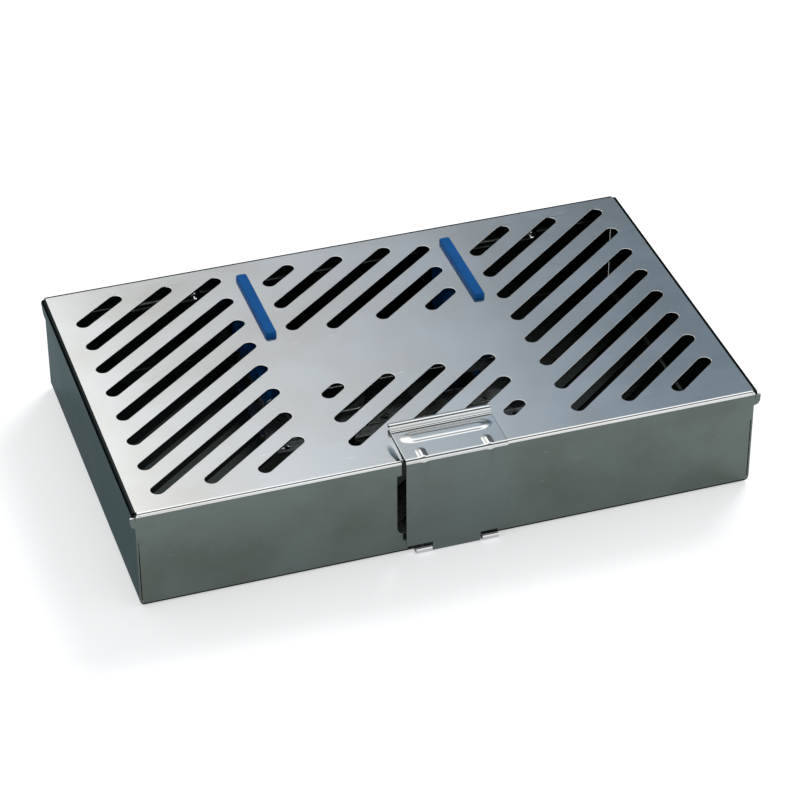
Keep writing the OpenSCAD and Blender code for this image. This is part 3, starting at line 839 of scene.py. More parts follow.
@dataclass(frozen=True)
class Case:
    """Driving sizes of the case, as in the CAD source."""

    width: float = 270.0
    depth: float = 165.0
    height: float = 47.7
    sheet: float = 0.8
    lid_gap: float = 0.4
    rim_gap: float = 0.2
    pin_r: float = 0.9
    pin_gap: float = 0.05
    hinge_x: float = 80.0
    hinge_drop: float = 12.8
    tray_knuckle: float = 28.0
    lid_knuckle: float = 8.0
    knuckle_play: float = 0.5
    slot_w: float = 6.0
    slot_angle: float = 38.7
    slot_pitch: float = 18.0
    band_x: float = 47.4
    band_w: float = 22.0
    slot_inset_x: float = 13.2
    slot_inset_front: float = 13.5
    slot_inset_rear: float = 12.2
    slot_inset_latch: float = 19.5
    field_front: float = 23.7
    field_rear: float = 21.5
    slot_facets: int = 10
    curl: float = 240.0
    bar_y: float = 45.0
    slit_w: float = 3.0
    slit_length: float = 43.0
    latch_x: float = 1.1
    latch_y: float = -83.543
    latch_z: float = 1.693
    skirt_z: float = 4.6
    rack_y: float = 45.0
    rack_length: float = 65.0
    rack_rivets: tuple = ((51.4, 21.5), (51.4, 68.5), (-51.4, 21.5), (-51.4, 68.5))
    divider_rivets: tuple = ((-47.4, 3.2), (0.0, 3.2), (47.4, 3.2))
    clip_rivets: tuple = ((-22.0, -8.2), (22.0, -8.2))
    stand_rivets: tuple = ((47.4, -74.0), (47.4, -16.0))
    drill_r: float = 1.45
    drill_sheets: float = 6.0
    drill_facets: int = 24
    reach: float = 3.0

    @property
    def tray_x(self) -> float:
        """Half the tray's width outside."""
        return self.width / 2 - self.sheet - self.lid_gap

    @property
    def tray_y(self) -> float:
        """Half the tray's depth outside."""
        return self.depth / 2 - self.sheet - self.lid_gap

    @property
    def rim_z(self) -> float:
        """Height of the tray's rim."""
        return self.height - self.sheet - self.rim_gap

    @property
    def knuckle_r(self) -> float:
        """Radius of the hinge knuckles' middle surface."""
        return self.pin_r + self.pin_gap + self.sheet / 2

    @property
    def hinge_y(self) -> float:
        """Distance of the hinge line behind the middle."""
        return self.tray_y + self.lid_gap + self.knuckle_r + self.sheet / 2

    @property
    def hinge_z(self) -> float:
        """Height of the hinge line."""
        return self.rim_z - self.hinge_drop

    @property
    def foot_z(self) -> float:
        """Height of the middle surface of a foot that stands on the tray's floor."""
        return 1.5 * self.sheet

    def drill(self, obj: bpy.types.Object, spots: tuple) -> None:
        """Drill the rivet holes at some spots, through the floor and the foot on it.

        Args:
            obj: The piece that is drilled.
            spots: The holes' places in x and y.
        """
        length = self.drill_sheets * self.sheet
        drills = [rod((x, y, self.sheet), self.drill_r, length, "Z", self.drill_facets) for x, y in spots]
        combine(obj, join(drills))

    def slot_cutters(self, low: float, high: float) -> bpy.types.Object:
        """Make the cutters of all the wash slots.

        Args:
            low: The height of the cutters' underside.
            high: The height of their top.

        Returns:
            All the cutters as one object.
        """
        rear = self.depth / 2 - self.slot_inset_rear
        front = self.slot_inset_front - self.depth / 2
        latch_end = self.slot_inset_latch - self.depth / 2
        end_in = self.band_x + self.band_w / 2
        end_out = self.width / 2 - self.slot_inset_x
        half = self.band_x - self.band_w / 2
        fields = [(-end_out, -end_in, front, rear), (end_in, end_out, front, rear),
                  (-half, half, self.field_rear, rear), (-half, half, latch_end, -self.field_front)]
        lines = [line for edges in fields for line in self.slot_lines(*edges)]
        return join([self.slot_cutter(start, run, low, high) for start, run in lines])

    def slot_lines(
            self, x_low: float, x_high: float, y_low: float, y_high: float) -> list[tuple[tuple, float]]:
        """Lay the slanted centre lines of one field of slots.

        Args:
            x_low: The field's left edge.
            x_high: Its right edge.
            y_low: Its front edge.
            y_high: Its rear edge.

        Returns:
            The start and the length of each slot's centre line.
        """
        slope = math.tan(math.radians(self.slot_angle))
        cx, cy = (x_low + x_high) / 2, (y_low + y_high) / 2
        half_w, half_d = (x_high - x_low) / 2, (y_high - y_low) / 2
        reach = math.ceil((half_d + half_w * slope) / self.slot_pitch)
        lines = []
        for k in range(-reach, reach):
            rise = (k + 0.5) * self.slot_pitch
            x0 = max(-half_w, (-half_d - rise) / slope)
            x1 = min(half_w, (half_d - rise) / slope)
            if x1 - x0 > self.slot_w / 2:
                run = (x1 - x0) / math.cos(math.radians(self.slot_angle))
                lines.append(((cx + x0, cy + rise + x0 * slope), run))
        return lines

    def slot_cutter(self, start: tuple, run: float, low: float, high: float) -> bpy.types.Object:
        """Make one round-ended cutter.

        Args:
            start: The place of its first end centre.
            run: The distance between its end centres.
            low: The height of its underside.
            high: The height of its top.

        Returns:
            The cutter.
        """
        half = self.slot_w / 2
        cutter = block((-half, -half, low), (run + half, half, high))
        round_edges(cutter, lambda middle, along: abs(along.z) > LONG, half * ALMOST, self.slot_facets)
        cutter.rotation_euler = (0, 0, math.radians(self.slot_angle))
        cutter.location = (*start, 0)
        return hold(cutter)


CASE = Case()


@dataclass
class Lid:
    """The lid: one slotted sheet, folded down on four sides and pressed in under the latch."""

    flange_h: float = 7.0
    bend_r: float = 1.4
    ear_reach: float = 1.0
    ear_r: float = 3.0
    ear_facets: int = 7
    end_r: float = 4.0
    end_facets: int = 8
    curl_facets: int = 16
    relief_r: float = 1.1
    relief_facets: int = 24
    notch_w: float = 45.8
    notch_x: float = 0.6
    pocket_depth: float = 0.6
    pocket_reach: float = 15.0
    pocket_slope: float = 3.4
    pocket_left: float = 0.1
    pocket_right: float = 0.6
    pocket_rings: int = 8
    pocket_widens: float = 3.0
    rim_inset: float = 2.0
    rim_tilt: float = 0.2
    # The width of the painted bend shade on the top, and how far its faces may lean inwards
    bend_shade_band: float = 0.45
    bend_shade_lean: float = 0.1
    crease_slack: float = 0.1
    crease_run: float = 0.1
    edge: float = 0.2

    def build(self) -> None:
        """Fold, press and cut the lid, then dress it."""
        lid = self.folded()
        self.press_pocket(lid)
        thicken(lid, CASE.sheet)
        self.cut(lid)
        face_outwards(lid)
        flatten(lid)
        self.mark_bends(lid)
        bend_x, bend_y = self.bends()
        top = CASE.height - self.pocket_depth - self.crease_slack
        soften(lid, self.edge, crease=lambda m, r: m.z > top and (
            near(abs(m.x), bend_x) and abs(r.y) > LONG
            or near(abs(m.y), bend_y) and abs(r.x) > self.crease_run))
        # The lid's sheet takes the steel darkened as painted shade; its top gets the lit copy below
        settle(lid, "lid", Finish.MILL, "lid", "lid_shell")
        self.dress_top(lid)

    def bends(self) -> tuple[float, float]:
        """Give the distances from the middle at which the side and the end bends begin."""
        return CASE.width / 2 - self.bend_r, CASE.depth / 2 - self.bend_r

    def mark_bends(self, lid: bpy.types.Object) -> None:
        """Cut the top just inside three of its bends, as far as their painted shade goes.

        Args:
            lid: The closed lid.
        """
        x, y = (bend - self.bend_shade_band for bend in self.bends())
        for place, normal in (((-x, 0, 0), (1, 0, 0)), ((x, 0, 0), (1, 0, 0)), ((0, y, 0), (0, 1, 0))):
            split(lid, lambda m, n: near(m.z, CASE.height) and n.z > LEVEL, place, normal)

    def dress_top(self, lid: bpy.types.Object) -> None:
        """Dress the lid's bends and its top.

        Args:
            lid: The settled lid.
        """
        bend_x, bend_y = self.bends()
        bend_shade_x, bend_shade_y = bend_x - self.bend_shade_band, bend_y - self.bend_shade_band
        rim_x, rim_y = bend_x - self.rim_inset, bend_y - self.rim_inset
        low = CASE.height - self.bend_r - self.edge
        # The side bends and the rear one are painted dark on their outer side, painted shade
        dress(lid, Finish.BEND, lambda m, n: m.z > low and n.z > TILT and (
            abs(m.x) > bend_shade_x and m.x * n.x > -self.bend_shade_lean
            or m.y > bend_shade_y and n.y > -self.bend_shade_lean))
        # The top with its slots' rims and the front bend take the lit copy of the sheet; the rest keeps the
        # copy darkened as painted shade
        dress(lid, Finish.SATIN, lambda m, n: m.z > low and (
            n.z > LEVEL and abs(m.x) < bend_shade_x and m.y < bend_shade_y
            or n.z > TILT and n.y < -TILT and m.y < -bend_y
            or n.z > self.rim_tilt and abs(m.x) < rim_x and abs(m.y) < rim_y))

    def folded(self) -> bpy.types.Object:
        """Fold the middle surface of the top, its flanges, ears and hinge tabs.

        Returns:
            The open middle surface.
        """
        half = CASE.sheet / 2
        radius = self.bend_r - half
        side_x = CASE.width / 2 - self.bend_r
        skin_x, skin_y = CASE.width / 2 - half, CASE.depth / 2 - half
        low, bend_z, top = CASE.height - self.flange_h, CASE.height - self.bend_r, CASE.height - half
        flange = bend_z - low
        strip = Strip(-side_x, side_x, -skin_y, low, 90)
        strip.run(flange).turn(radius, -90).run(2 * (skin_y - radius)).turn(radius, -90).run(flange)
        lid = strip.obj
        for side in SIDES:
            fold(lid, lambda m, r: near(m.x, side * side_x) and near(m.z, top),
                 (side * side_x, 0, bend_z), (0, 1, 0), side * 90, (0, 0, -flange))
            pull(lid, lambda m, r: near(m.x, side * side_x) and near(m.y, -skin_y) and m.z < bend_z,
                 (side * (CASE.width / 2 + self.ear_reach - side_x), 0, 0))
        self.round_corners(lid, low, skin_x, skin_y)
        self.draw_hinge_tabs(lid, low, skin_y)
        return lid

    def round_corners(self, lid: bpy.types.Object, low: float, skin_x: float, skin_y: float) -> None:
        """Round the ears' lower corners and the rear corners of the end flanges.

        Args:
            lid: The open middle surface.
            low: The height of the flanges' lower edge.
            skin_x: The place of the end flanges.
            skin_y: The place of the front and rear flanges.
        """
        ear_x = CASE.width / 2 + self.ear_reach
        pick(lid, "VERT", lambda p, n: near(abs(p.x), ear_x) and near(p.y, -skin_y) and near(p.z, low))
        bpy.ops.mesh.bevel(offset=self.ear_r, affect="VERTICES", segments=self.ear_facets)
        pick(lid, "VERT", lambda p, n: near(abs(p.x), skin_x) and p.y > 0 and near(p.z, low))
        bpy.ops.mesh.bevel(offset=self.end_r, affect="VERTICES", segments=self.end_facets)
        leave_edit()

    def draw_hinge_tabs(self, lid: bpy.types.Object, low: float, skin_y: float) -> None:
        """Draw the four tabs down from the rear flange and curl them round the pins.

        Args:
            lid: The open middle surface.
            low: The height of the flanges' lower edge.
            skin_y: The place of the rear flange.
        """
        away = CASE.tray_knuckle / 2 + CASE.knuckle_play + CASE.lid_knuckle / 2
        middles = [side * CASE.hinge_x + end * away for side in SIDES for end in SIDES]
        top = CASE.height - self.bend_r
        for x in sorted(x + end * CASE.lid_knuckle / 2 for x in middles for end in SIDES):
            split(lid, lambda m, n: near(m.y, skin_y) and m.z < top, (x, 0, 0), (1, 0, 0))
        pick(lid, "EDGE", lambda m, r: near(m.y, skin_y) and near(m.z, low)
             and any(abs(m.x - x) < LONG for x in middles))
        extrude((0, 0, CASE.hinge_z - low))
        bpy.ops.mesh.spin(steps=self.curl_facets, angle=-math.radians(CASE.curl),
                          center=(0, CASE.hinge_y, CASE.hinge_z), axis=(1, 0, 0))
        leave_edit()

    def press_pocket(self, lid: bpy.types.Object) -> None:
        """Press the pan for the latch's lip into the top, deeper towards the front.

        Args:
            lid: The open middle surface.
        """
        top = CASE.height - CASE.sheet / 2
        front = -CASE.depth / 2
        start = front + self.bend_r
        length = self.pocket_reach - self.bend_r
        left = self.notch_x - self.notch_w / 2 + self.pocket_left
        right = self.notch_x + self.notch_w / 2 - self.pocket_right - self.pocket_slope
        for ring in range(self.pocket_rings + 1):
            share = ring / self.pocket_rings
            for x in (left - self.pocket_slope * share, right + self.pocket_slope * share):
                split(lid, lambda m, n: m.z > CASE.height - self.bend_r, (x, 0, 0), (1, 0, 0))
            split(lid, lambda m, n: near(m.z, top), (0, start + length * share + SLACK, 0), (0, 1, 0))
        for vertex in lid.data.vertices:
            if vertex.co.z > top - SLACK and vertex.co.y < front + self.pocket_reach + PAST:
                back = min(1.0, max(0.0, (vertex.co.y - start) / length))
                out = max(left - vertex.co.x, vertex.co.x - right, 0.0)
                # The side slopes are half as wide at the front, and widen soon behind it
                slope = self.pocket_slope * (1 + min(1.0, self.pocket_widens * back)) / 2
                vertex.co.z -= self.pocket_depth * ease(out / slope) * ease(back)

    def cut(self, lid: bpy.types.Object) -> None:
        """Cut the slots, the corner reliefs, the latch's notch and the bars' necks.

        Args:
            lid: The closed lid.
        """
        top = CASE.height
        low, high = top - CASE.reach, top + CASE.reach
        combine(lid, CASE.slot_cutters(low, high))
        x, y = CASE.width / 2 - self.relief_r, CASE.depth / 2 - self.relief_r
        length = 2 * (self.bend_r + self.relief_r)
        combine(lid, join([rod((side * x, end * y, top), self.relief_r, length, "Z", self.relief_facets)
                           for side in SIDES for end in SIDES]))
        half = self.notch_w / 2
        combine(lid, block((self.notch_x - half, -CASE.depth, top - 2 * self.flange_h),
                           (self.notch_x + half, -CASE.tray_y, high)))
        combine(lid, join([slab(side * CASE.band_x, CASE.bar_y, CASE.slit_w, CASE.slit_length, low, high)
                           for side in SIDES]))


@dataclass
class Tray:
    """The tray: one slotted sheet folded up on four sides, with tabs curled round the pins."""

    bend_r: float = 1.5
    end_r: float = 3.2
    seam_gap: float = 0.3
    seam_weld: float = 14.0
    window_x: float = 0.0
    window_w: float = 48.0
    window_z: float = 10.0
    window_r: float = 3.0
    bead_drop: float = 10.1
    bead_r: float = 1.0
    bead_sink: float = 0.35
    bead_inset: float = 8.0
    bead_break: float = 2.0
    bead_facets: int = 24
    curl_r: float = 1.243
    curl_x: float = 14.5
    curl_w: float = 7.0
    curl_left: float = 2.6
    curl_right: float = 0.8
    # How far in front of the tray the curls take the painted highlight
    curl_highlight_inset: float = 0.3
    rise: float = 5.0
    end_facets: int = 8
    edge: float = 0.12

    def build(self) -> None:
        """Fold, cut and join the tray, then dress it."""
        tray = self.tub(0.0, 0.0)
        combine(tray, self.tub(CASE.sheet, self.rise))
        self.cut_walls(tray)
        self.press_bead(tray)
        for side in SIDES:
            combine(tray, self.hinge_tab(side * CASE.hinge_x), "UNION")
        for side in SIDES:
            combine(tray, self.latch_curl(CASE.latch_x + side * self.curl_x), "UNION")
        combine(tray, CASE.slot_cutters(-CASE.reach, CASE.reach))
        CASE.drill(tray, CASE.rack_rivets + CASE.divider_rivets + CASE.clip_rivets + CASE.stand_rivets)
        face_outwards(tray)
        soften(tray, self.edge)
        # The broken edges of the slots may not reach below the floor
        for vertex in tray.data.vertices:
            vertex.co.z = max(vertex.co.z, 0.0)
        # The tray's sheet takes the steel darkened as painted shade
        settle(tray, "tray", Finish.MILL, "tray", "tray_shell")
        self.dress_sides(tray)

    def dress_sides(self, tray: bpy.types.Object) -> None:
        """Dress the tray's lower bends, its curls and its inside.

        Args:
            tray: The settled tray.
        """
        # The lower bends are painted dark on their outer side, painted contact shadow
        dress(tray, Finish.BEND, lambda m, n: m.z < self.end_r and -LEVEL < n.z < -TILT and (
            abs(m.x) > CASE.tray_x - self.end_r or abs(m.y) > CASE.tray_y - self.bend_r))
        # The curls take a bright finish, a painted highlight
        front = -CASE.tray_y - self.curl_highlight_inset
        dress(tray, Finish.BRIGHT, lambda m, n: m.y < front and m.z < CASE.skirt_z)
        # Inside, the tray is darkened with painted shade
        inner_x, inner_y = CASE.tray_x - CASE.sheet / 2, CASE.tray_y - CASE.sheet / 2
        dress(tray, Finish.INNER, lambda m, n: (
            abs(m.x) < inner_x and abs(m.y) < inner_y and m.z > CASE.sheet / 2))

    def tub(self, inset: float, extra: float) -> bpy.types.Object:
        """Make a solid with the tray's rounded outline.

        Args:
            inset: The distance inside the tray's outline.
            extra: How far it stands out of the tray's rim.

        Returns:
            The solid.
        """
        x, y, top = CASE.tray_x - inset, CASE.tray_y - inset, CASE.rim_z + extra
        tub = slab(0, 0, 2 * (x + PAST), 2 * y, inset, top)
        round_edges(tub, lambda m, r: near(m.z, inset) and near(abs(m.y), y), self.bend_r - inset)
        ends = slab(0, 0, 2 * x, 2 * (y + PAST), inset, top + PAST)
        radius = self.end_r - inset
        round_edges(ends, lambda m, r: near(m.z, inset) and near(abs(m.x), x), radius, self.end_facets)
        combine(tub, ends, "INTERSECT")
        return tub

    def cut_walls(self, tray: bpy.types.Object) -> None:
        """Cut the corner seams, the opening behind the latch and those of the tabs.

        Args:
            tray: The closed tray.
        """
        inner_x, inner_y = CASE.tray_x - CASE.sheet, CASE.tray_y - CASE.sheet
        half = CASE.sheet / 2
        seam_x, seam_y = inner_x - self.seam_gap / 2, CASE.tray_y - half
        for side in SIDES:
            for end in SIDES:
                combine(tray, slab(side * seam_x, end * seam_y, self.seam_gap, 2 * (half + SLACK),
                                   self.end_r, CASE.rim_z - self.seam_weld))
        window = block((self.window_x - self.window_w / 2, -CASE.tray_y - PAST, self.window_z),
                       (self.window_x + self.window_w / 2, -inner_y + PAST, CASE.height))
        round_edges(window, lambda m, r: near(m.z, self.window_z) and abs(r.y) > LONG, self.window_r)
        combine(tray, window)
        floor_z = CASE.latch_z - self.curl_r + half
        for side in SIDES:
            x, out = CASE.latch_x + side * self.curl_x, self.curl_w / 2
            combine(tray, block((x - out - self.curl_left, -CASE.tray_y - PAST, floor_z),
                                (x + out + self.curl_right, self.bend_r - CASE.tray_y, CASE.skirt_z)))
            x, out = side * CASE.hinge_x, CASE.tray_knuckle / 2 + PAST
            combine(tray, block((x - out, inner_y - PAST, CASE.hinge_z - CASE.knuckle_r + half),
                                (x + out, CASE.tray_y + PAST, CASE.hinge_z + CASE.knuckle_r + half + PAST)))

    def press_bead(self, tray: bpy.types.Object) -> None:
        """Press the stiffening bead into the rear wall, with breaks at the hinges.

        Args:
            tray: The closed tray.
        """
        z, inside = CASE.rim_z - self.bead_drop, CASE.tray_y - CASE.sheet
        inner = CASE.hinge_x - CASE.tray_knuckle / 2 - self.bead_break
        outer = CASE.hinge_x + CASE.tray_knuckle / 2 + self.bead_break
        end = CASE.tray_x - CASE.sheet - self.bead_inset
        for low, high in ((-end, -outer), (-inner, inner), (outer, end)):
            middle, length = (low + high) / 2, high - low
            for y, operation in ((inside, "UNION"), (CASE.tray_y + self.bead_sink, "DIFFERENCE")):
                ridge = rod((middle, y, z), self.bead_r, length, "X", self.bead_facets)
                combine(tray, ridge, operation)

    def hinge_tab(self, x: float) -> bpy.types.Object:
        """Draw a tab out of the rear wall and curl it up round the hinge pin.

        Args:
            x: The middle of the hinge.

        Returns:
            The tab.
        """
        half = CASE.tray_knuckle / 2
        start = CASE.tray_y - CASE.sheet / 2
        strip = Strip(x - half, x + half, start, CASE.hinge_z - CASE.knuckle_r, 0)
        return strip.run(CASE.hinge_y - start).turn(CASE.knuckle_r, CASE.curl).sheet(CASE.sheet)

    def latch_curl(self, x: float) -> bpy.types.Object:
        """Draw a tab out of the floor and curl it up round the latch's arm.

        Args:
            x: The middle of the curl.

        Returns:
            The tab.
        """
        half = self.curl_w / 2
        start = self.bend_r - CASE.tray_y
        strip = Strip(x - half, x + half, start, CASE.latch_z - self.curl_r, 180)
        return strip.run(start - CASE.latch_y).turn(self.curl_r, -CASE.curl).sheet(CASE.sheet)


@dataclass
class Latch:
    """The latch: one spring sheet with a long bead, two short ribs and a turned-up finger edge."""

    width: float = 44.0
    sheet: float = 0.7
    low_z: float = 0.15
    lid_gap: float = 0.15
    bend_r: float = 1.7
    reach: float = 25.2
    rise: float = 3.3
    foot_r: float = 1.3
    foot_angle: float = 80.0
    roll_r: float = 1.45
    roll_angle: float = 205.0
    bead_y: float = 14.2
    bead_inset: float = 3.6
    bead_h: float = 0.7
    bead_flat: float = 1.1
    bead_front: float = 1.9
    bead_rear: float = 3.8
    bead_end: float = 0.6
    rib_x: float = 14.2
    rib_h: float = 0.6
    rib_half: float = 2.1
    rib_reach: float = 7.5
    rib_drop: float = 14.0
    rib_clear: float = 2.0
    tongue_w: float = 21.0
    arm_h: float = 1.4
    arm_reach: float = 18.0
    step: float = 0.4
    bend_step: float = 0.2
    skirt_rows: int = 12
    # How high and how tilted the lip's faces must be to take the lit copy, painted light
    lit_lip_rise: float = 0.5
    lit_lip_tilt: float = 0.02
    edge: float = 0.1

    def __post_init__(self) -> None:
        """Work out the stretches of the unrolled sheet, as its length and its turn to the left."""
        half = self.sheet / 2
        self.lip_z = CASE.height + self.lid_gap + half
        bend, foot = self.bend_r - half, math.radians(self.foot_angle)
        self.face_run = self.lip_z - bend - self.low_z
        climb = self.rise - self.sheet - (self.foot_r + self.roll_r) * (1 - math.cos(foot))
        slant = climb / math.sin(foot)
        deep = (self.foot_r + self.roll_r) * math.sin(foot) + slant * math.cos(foot) + self.roll_r + half
        self.lip_run = self.reach - half - bend - deep
        self.lip_from = self.face_run + bend * math.pi / 2
        self.stretches = [
            (self.face_run, 0.0), (bend * math.pi / 2, -math.pi / 2), (self.lip_run, 0.0),
            (self.foot_r * foot, foot), (slant, 0.0),
            (self.roll_r * math.radians(self.roll_angle), -math.radians(self.roll_angle))]

    def build(self) -> None:
        """Press and bend the sheet, add its arms and dress it."""
        latch = self.pressed_sheet()
        tongue = self.tongue_w / 2
        pick(latch, "FACE", lambda m, n: abs(m.x - CASE.latch_x) > tongue and m.z < CASE.skirt_z)
        bpy.ops.mesh.delete(type="FACE")
        thicken(latch, self.sheet)
        run = self.arm_reach - tongue + PAST
        low, high = CASE.latch_z - self.arm_h / 2, CASE.latch_z + self.arm_h / 2
        join([latch, *(slab(CASE.latch_x + side * (self.arm_reach - run / 2), CASE.latch_y,
                            run, self.sheet - 2 * SLACK, low, high) for side in SIDES)])
        soften(latch, self.edge)
        settle(latch, "latch", Finish.SPRING, "latch", "latch_clip")
        # The lip takes the lit copy of the sheet, painted light, and the face the copy darkened as painted
        # shade
        bend_z, roll_z = CASE.height - self.bend_r, self.lip_z + self.lit_lip_rise
        dress(latch, Finish.LIP, lambda m, n: m.z > bend_z and (n.z > self.lit_lip_tilt or m.z > roll_z))

    def pressed_sheet(self) -> bpy.types.Object:
        """Lay a grid over the unrolled sheet, press its beads and bend it.

        Returns:
            The open middle surface.
        """
        rows = self.rows()
        columns = math.ceil(self.width / self.step)
        bpy.ops.mesh.primitive_grid_add(x_subdivisions=columns, y_subdivisions=len(rows) - 1, size=1)
        latch = bpy.context.active_object
        for vertex in latch.data.vertices:
            across = vertex.co.x * self.width
            if abs(abs(across) - self.tongue_w / 2) < self.step / 2:
                across = math.copysign(self.tongue_w / 2, across)
            along = rows[round((vertex.co.y + 0.5) * (len(rows) - 1))]
            height = max(self.bead(across, along), self.rib(across, along))
            y, z, heading = self.path(along)
            rise_y, rise_z = -height * math.sin(heading), height * math.cos(heading)
            vertex.co = (CASE.latch_x + across, y + rise_y, z + rise_z)
        return latch

    def rows(self) -> list[float]:
        """Space the grid's rows, close together where something is pressed or bent.

        Returns:
            The rows' distances along the sheet, from its lower edge.
        """
        plain = self.lip_z - self.rib_drop - self.low_z - self.rib_clear
        skirt = CASE.skirt_z - self.low_z
        rows = [0.0, *(skirt + i * (plain - skirt) / self.skirt_rows for i in range(self.skirt_rows + 1))]
        start = 0.0
        for length, turn in self.stretches:
            begin, end = max(start, plain), start + length
            count = math.ceil((end - begin) / (self.bend_step if turn else self.step))
            rows += [begin + (end - begin) * i / count for i in range(1, count + 1)]
            start = end
        return rows

    def path(self, along: float) -> tuple[float, float, float]:
        """Follow the bent sheet's middle surface.

        Args:
            along: The distance from the sheet's lower edge.

        Returns:
            The place in y and z, and the heading from +Y in radians.
        """
        y, z, heading = CASE.latch_y, self.low_z, math.pi / 2
        left = along
        for length, turn in self.stretches:
            part = min(left, length)
            if turn:
                radius = length / turn
                ahead = heading + turn * part / length
                y += radius * (math.sin(ahead) - math.sin(heading))
                z -= radius * (math.cos(ahead) - math.cos(heading))
                heading = ahead
            else:
                y += part * math.cos(heading)
                z += part * math.sin(heading)
            left -= part
            if left <= 0:
                break
        return y, z, heading

    def bead(self, across: float, along: float) -> float:
        """Height of the long bead, a flat-topped ridge with soft flanks and round ends.

        Args:
            across: The place across the sheet, from its middle.
            along: The distance from the sheet's lower edge.

        Returns:
            The height over the plain sheet.
        """
        middle = self.lip_from + self.bead_y - self.bend_r
        flat_reach = self.width / 2 - self.bead_inset - (self.bead_flat + self.bead_front) / self.bead_end
        past_end = max(0.0, abs(across) - flat_reach) * self.bead_end
        away = math.hypot(past_end, along - middle)
        # The flank widens from the front to the rear round the bead's ends
        lean = (along - middle) / away if away else 0.0
        flank = (self.bead_front + self.bead_rear + lean * (self.bead_rear - self.bead_front)) / 2
        return self.bead_h * ease((away - self.bead_flat) / flank)

    def rib(self, across: float, along: float) -> float:
        """Height of the two short ribs that run over the bend and fade down the face.

        Args:
            across: The place across the sheet, from its middle.
            along: The distance from the sheet's lower edge.

        Returns:
            The height over the plain sheet.
        """
        lip_end = self.lip_from + self.rib_reach - self.bend_r - self.rib_half
        face_end = self.lip_z - self.rib_drop - self.low_z
        past_end = max(0.0, along - lip_end)
        away = math.hypot(past_end, abs(across) - self.rib_x)
        side = ease(away / self.rib_half)
        down = max(0.0, self.face_run - along) / (self.face_run - face_end)
        return self.rib_h * side * max(0.0, 1 - down) ** 2


@dataclass
class HoldDown:
    """A silicone bar on the lid, its neck through the slit and its pad underneath."""

    side: int
    name: str
    width: float = 5.0
    length: float = 49.0
    height: float = 2.2
    corner_r: float = 1.2
    edge_r: float = 0.8
    facets: int = 5
    neck_play: float = 0.1
    pad_w: float = 6.0
    pad_low: float = 32.9
    play: float = 0.1
    edge: float = 0.2

    def build(self) -> None:
        """Draw the bar, neck and pad from one block and dress them."""
        x, top = self.side * CASE.band_x, CASE.height
        neck_w, neck_length = CASE.slit_w - self.neck_play, CASE.slit_length - self.neck_play
        bar = slab(x, CASE.bar_y, self.width, self.length, top, top + self.height)
        round_edges(bar, lambda m, r: abs(r.z) > LONG, self.corner_r, self.facets)
        round_edges(bar, lambda m, r: near(m.z, top + self.height), self.edge_r, self.facets)
        inset = (self.width - neck_w) / 2
        pick(bar, "FACE", lambda m, n: n.z < -LEVEL)
        bpy.ops.mesh.inset(thickness=inset)
        self.stretch(1, neck_length / (self.length - 2 * inset))
        extrude((0, 0, -CASE.sheet))
        extrude((0, 0, 0))
        self.stretch(self.pad_w / neck_w, self.length / neck_length)
        extrude((0, 0, self.pad_low - top + CASE.sheet))
        leave_edit()
        low_r = self.pad_w / 2 - self.play
        round_edges(bar, lambda m, r: near(m.z, self.pad_low) and abs(r.y) > LONG, low_r)
        complete(bar, self.edge, self.name, Finish.BLUE, "lid")

    def stretch(self, across: float, along: float) -> None:
        """Stretch what is selected about the bar's middle.

        Args:
            across: The share across the bar.
            along: The share along it.
        """
        middle = (self.side * CASE.band_x, CASE.bar_y, CASE.height)
        bpy.ops.transform.resize(value=(across, along, 1), center_override=middle)


# Inside of the tray


@dataclass
class Rivets:
    """A set of domed rivets that hold one piece to the floor."""

    name: str
    spots: tuple[tuple[float, float], ...]
    top: float = 2 * CASE.sheet
    low: float = 0.05
    shank_r: float = 1.4
    head_r: float = 2.5
    head_h: float = 0.9
    rim_h: float = 0.15
    facets: int = 6
    edge: float = 0.08

    def build(self) -> None:
        """Turn one rivet, copy it to every spot and dress them."""
        rivet = lathe(self.profile())
        soften(rivet, self.edge, 1)
        settle(repeat(rivet, self.spots), self.name, Finish.BRIGHT, "tray", self.name)

    def profile(self) -> list[tuple[float, float]]:
        """Draw the shank and the domed head.

        Returns:
            Radius and height of each corner, from the shank's foot to the crown.
        """
        rise = self.head_h - self.rim_h
        ball = (self.head_r ** 2 + rise ** 2) / (2 * rise)
        spread = math.asin(self.head_r / ball)
        crown = self.top + self.head_h
        dome = []
        for step in range(self.facets + 1):
            angle = spread * (1 - step / self.facets)
            dome.append((ball * math.sin(angle), crown - ball * (1 - math.cos(angle))))
        shank = [(0.0, self.low), (self.shank_r, self.low), (self.shank_r, self.top)]
        return [*shank, (self.head_r, self.top), *dome]


@dataclass
class Pin:
    """A hinge pin of drawn wire with broken ends."""

    name: str
    place: tuple[float, float, float]
    length: float
    radius: float
    edge_share: float = 0.25

    def build(self) -> None:
        """Make the pin and dress it."""
        pin = rod(self.place, self.radius, self.length)
        soften(pin, self.radius * self.edge_share)
        settle(pin, self.name, Finish.BRIGHT, "tray", self.name)


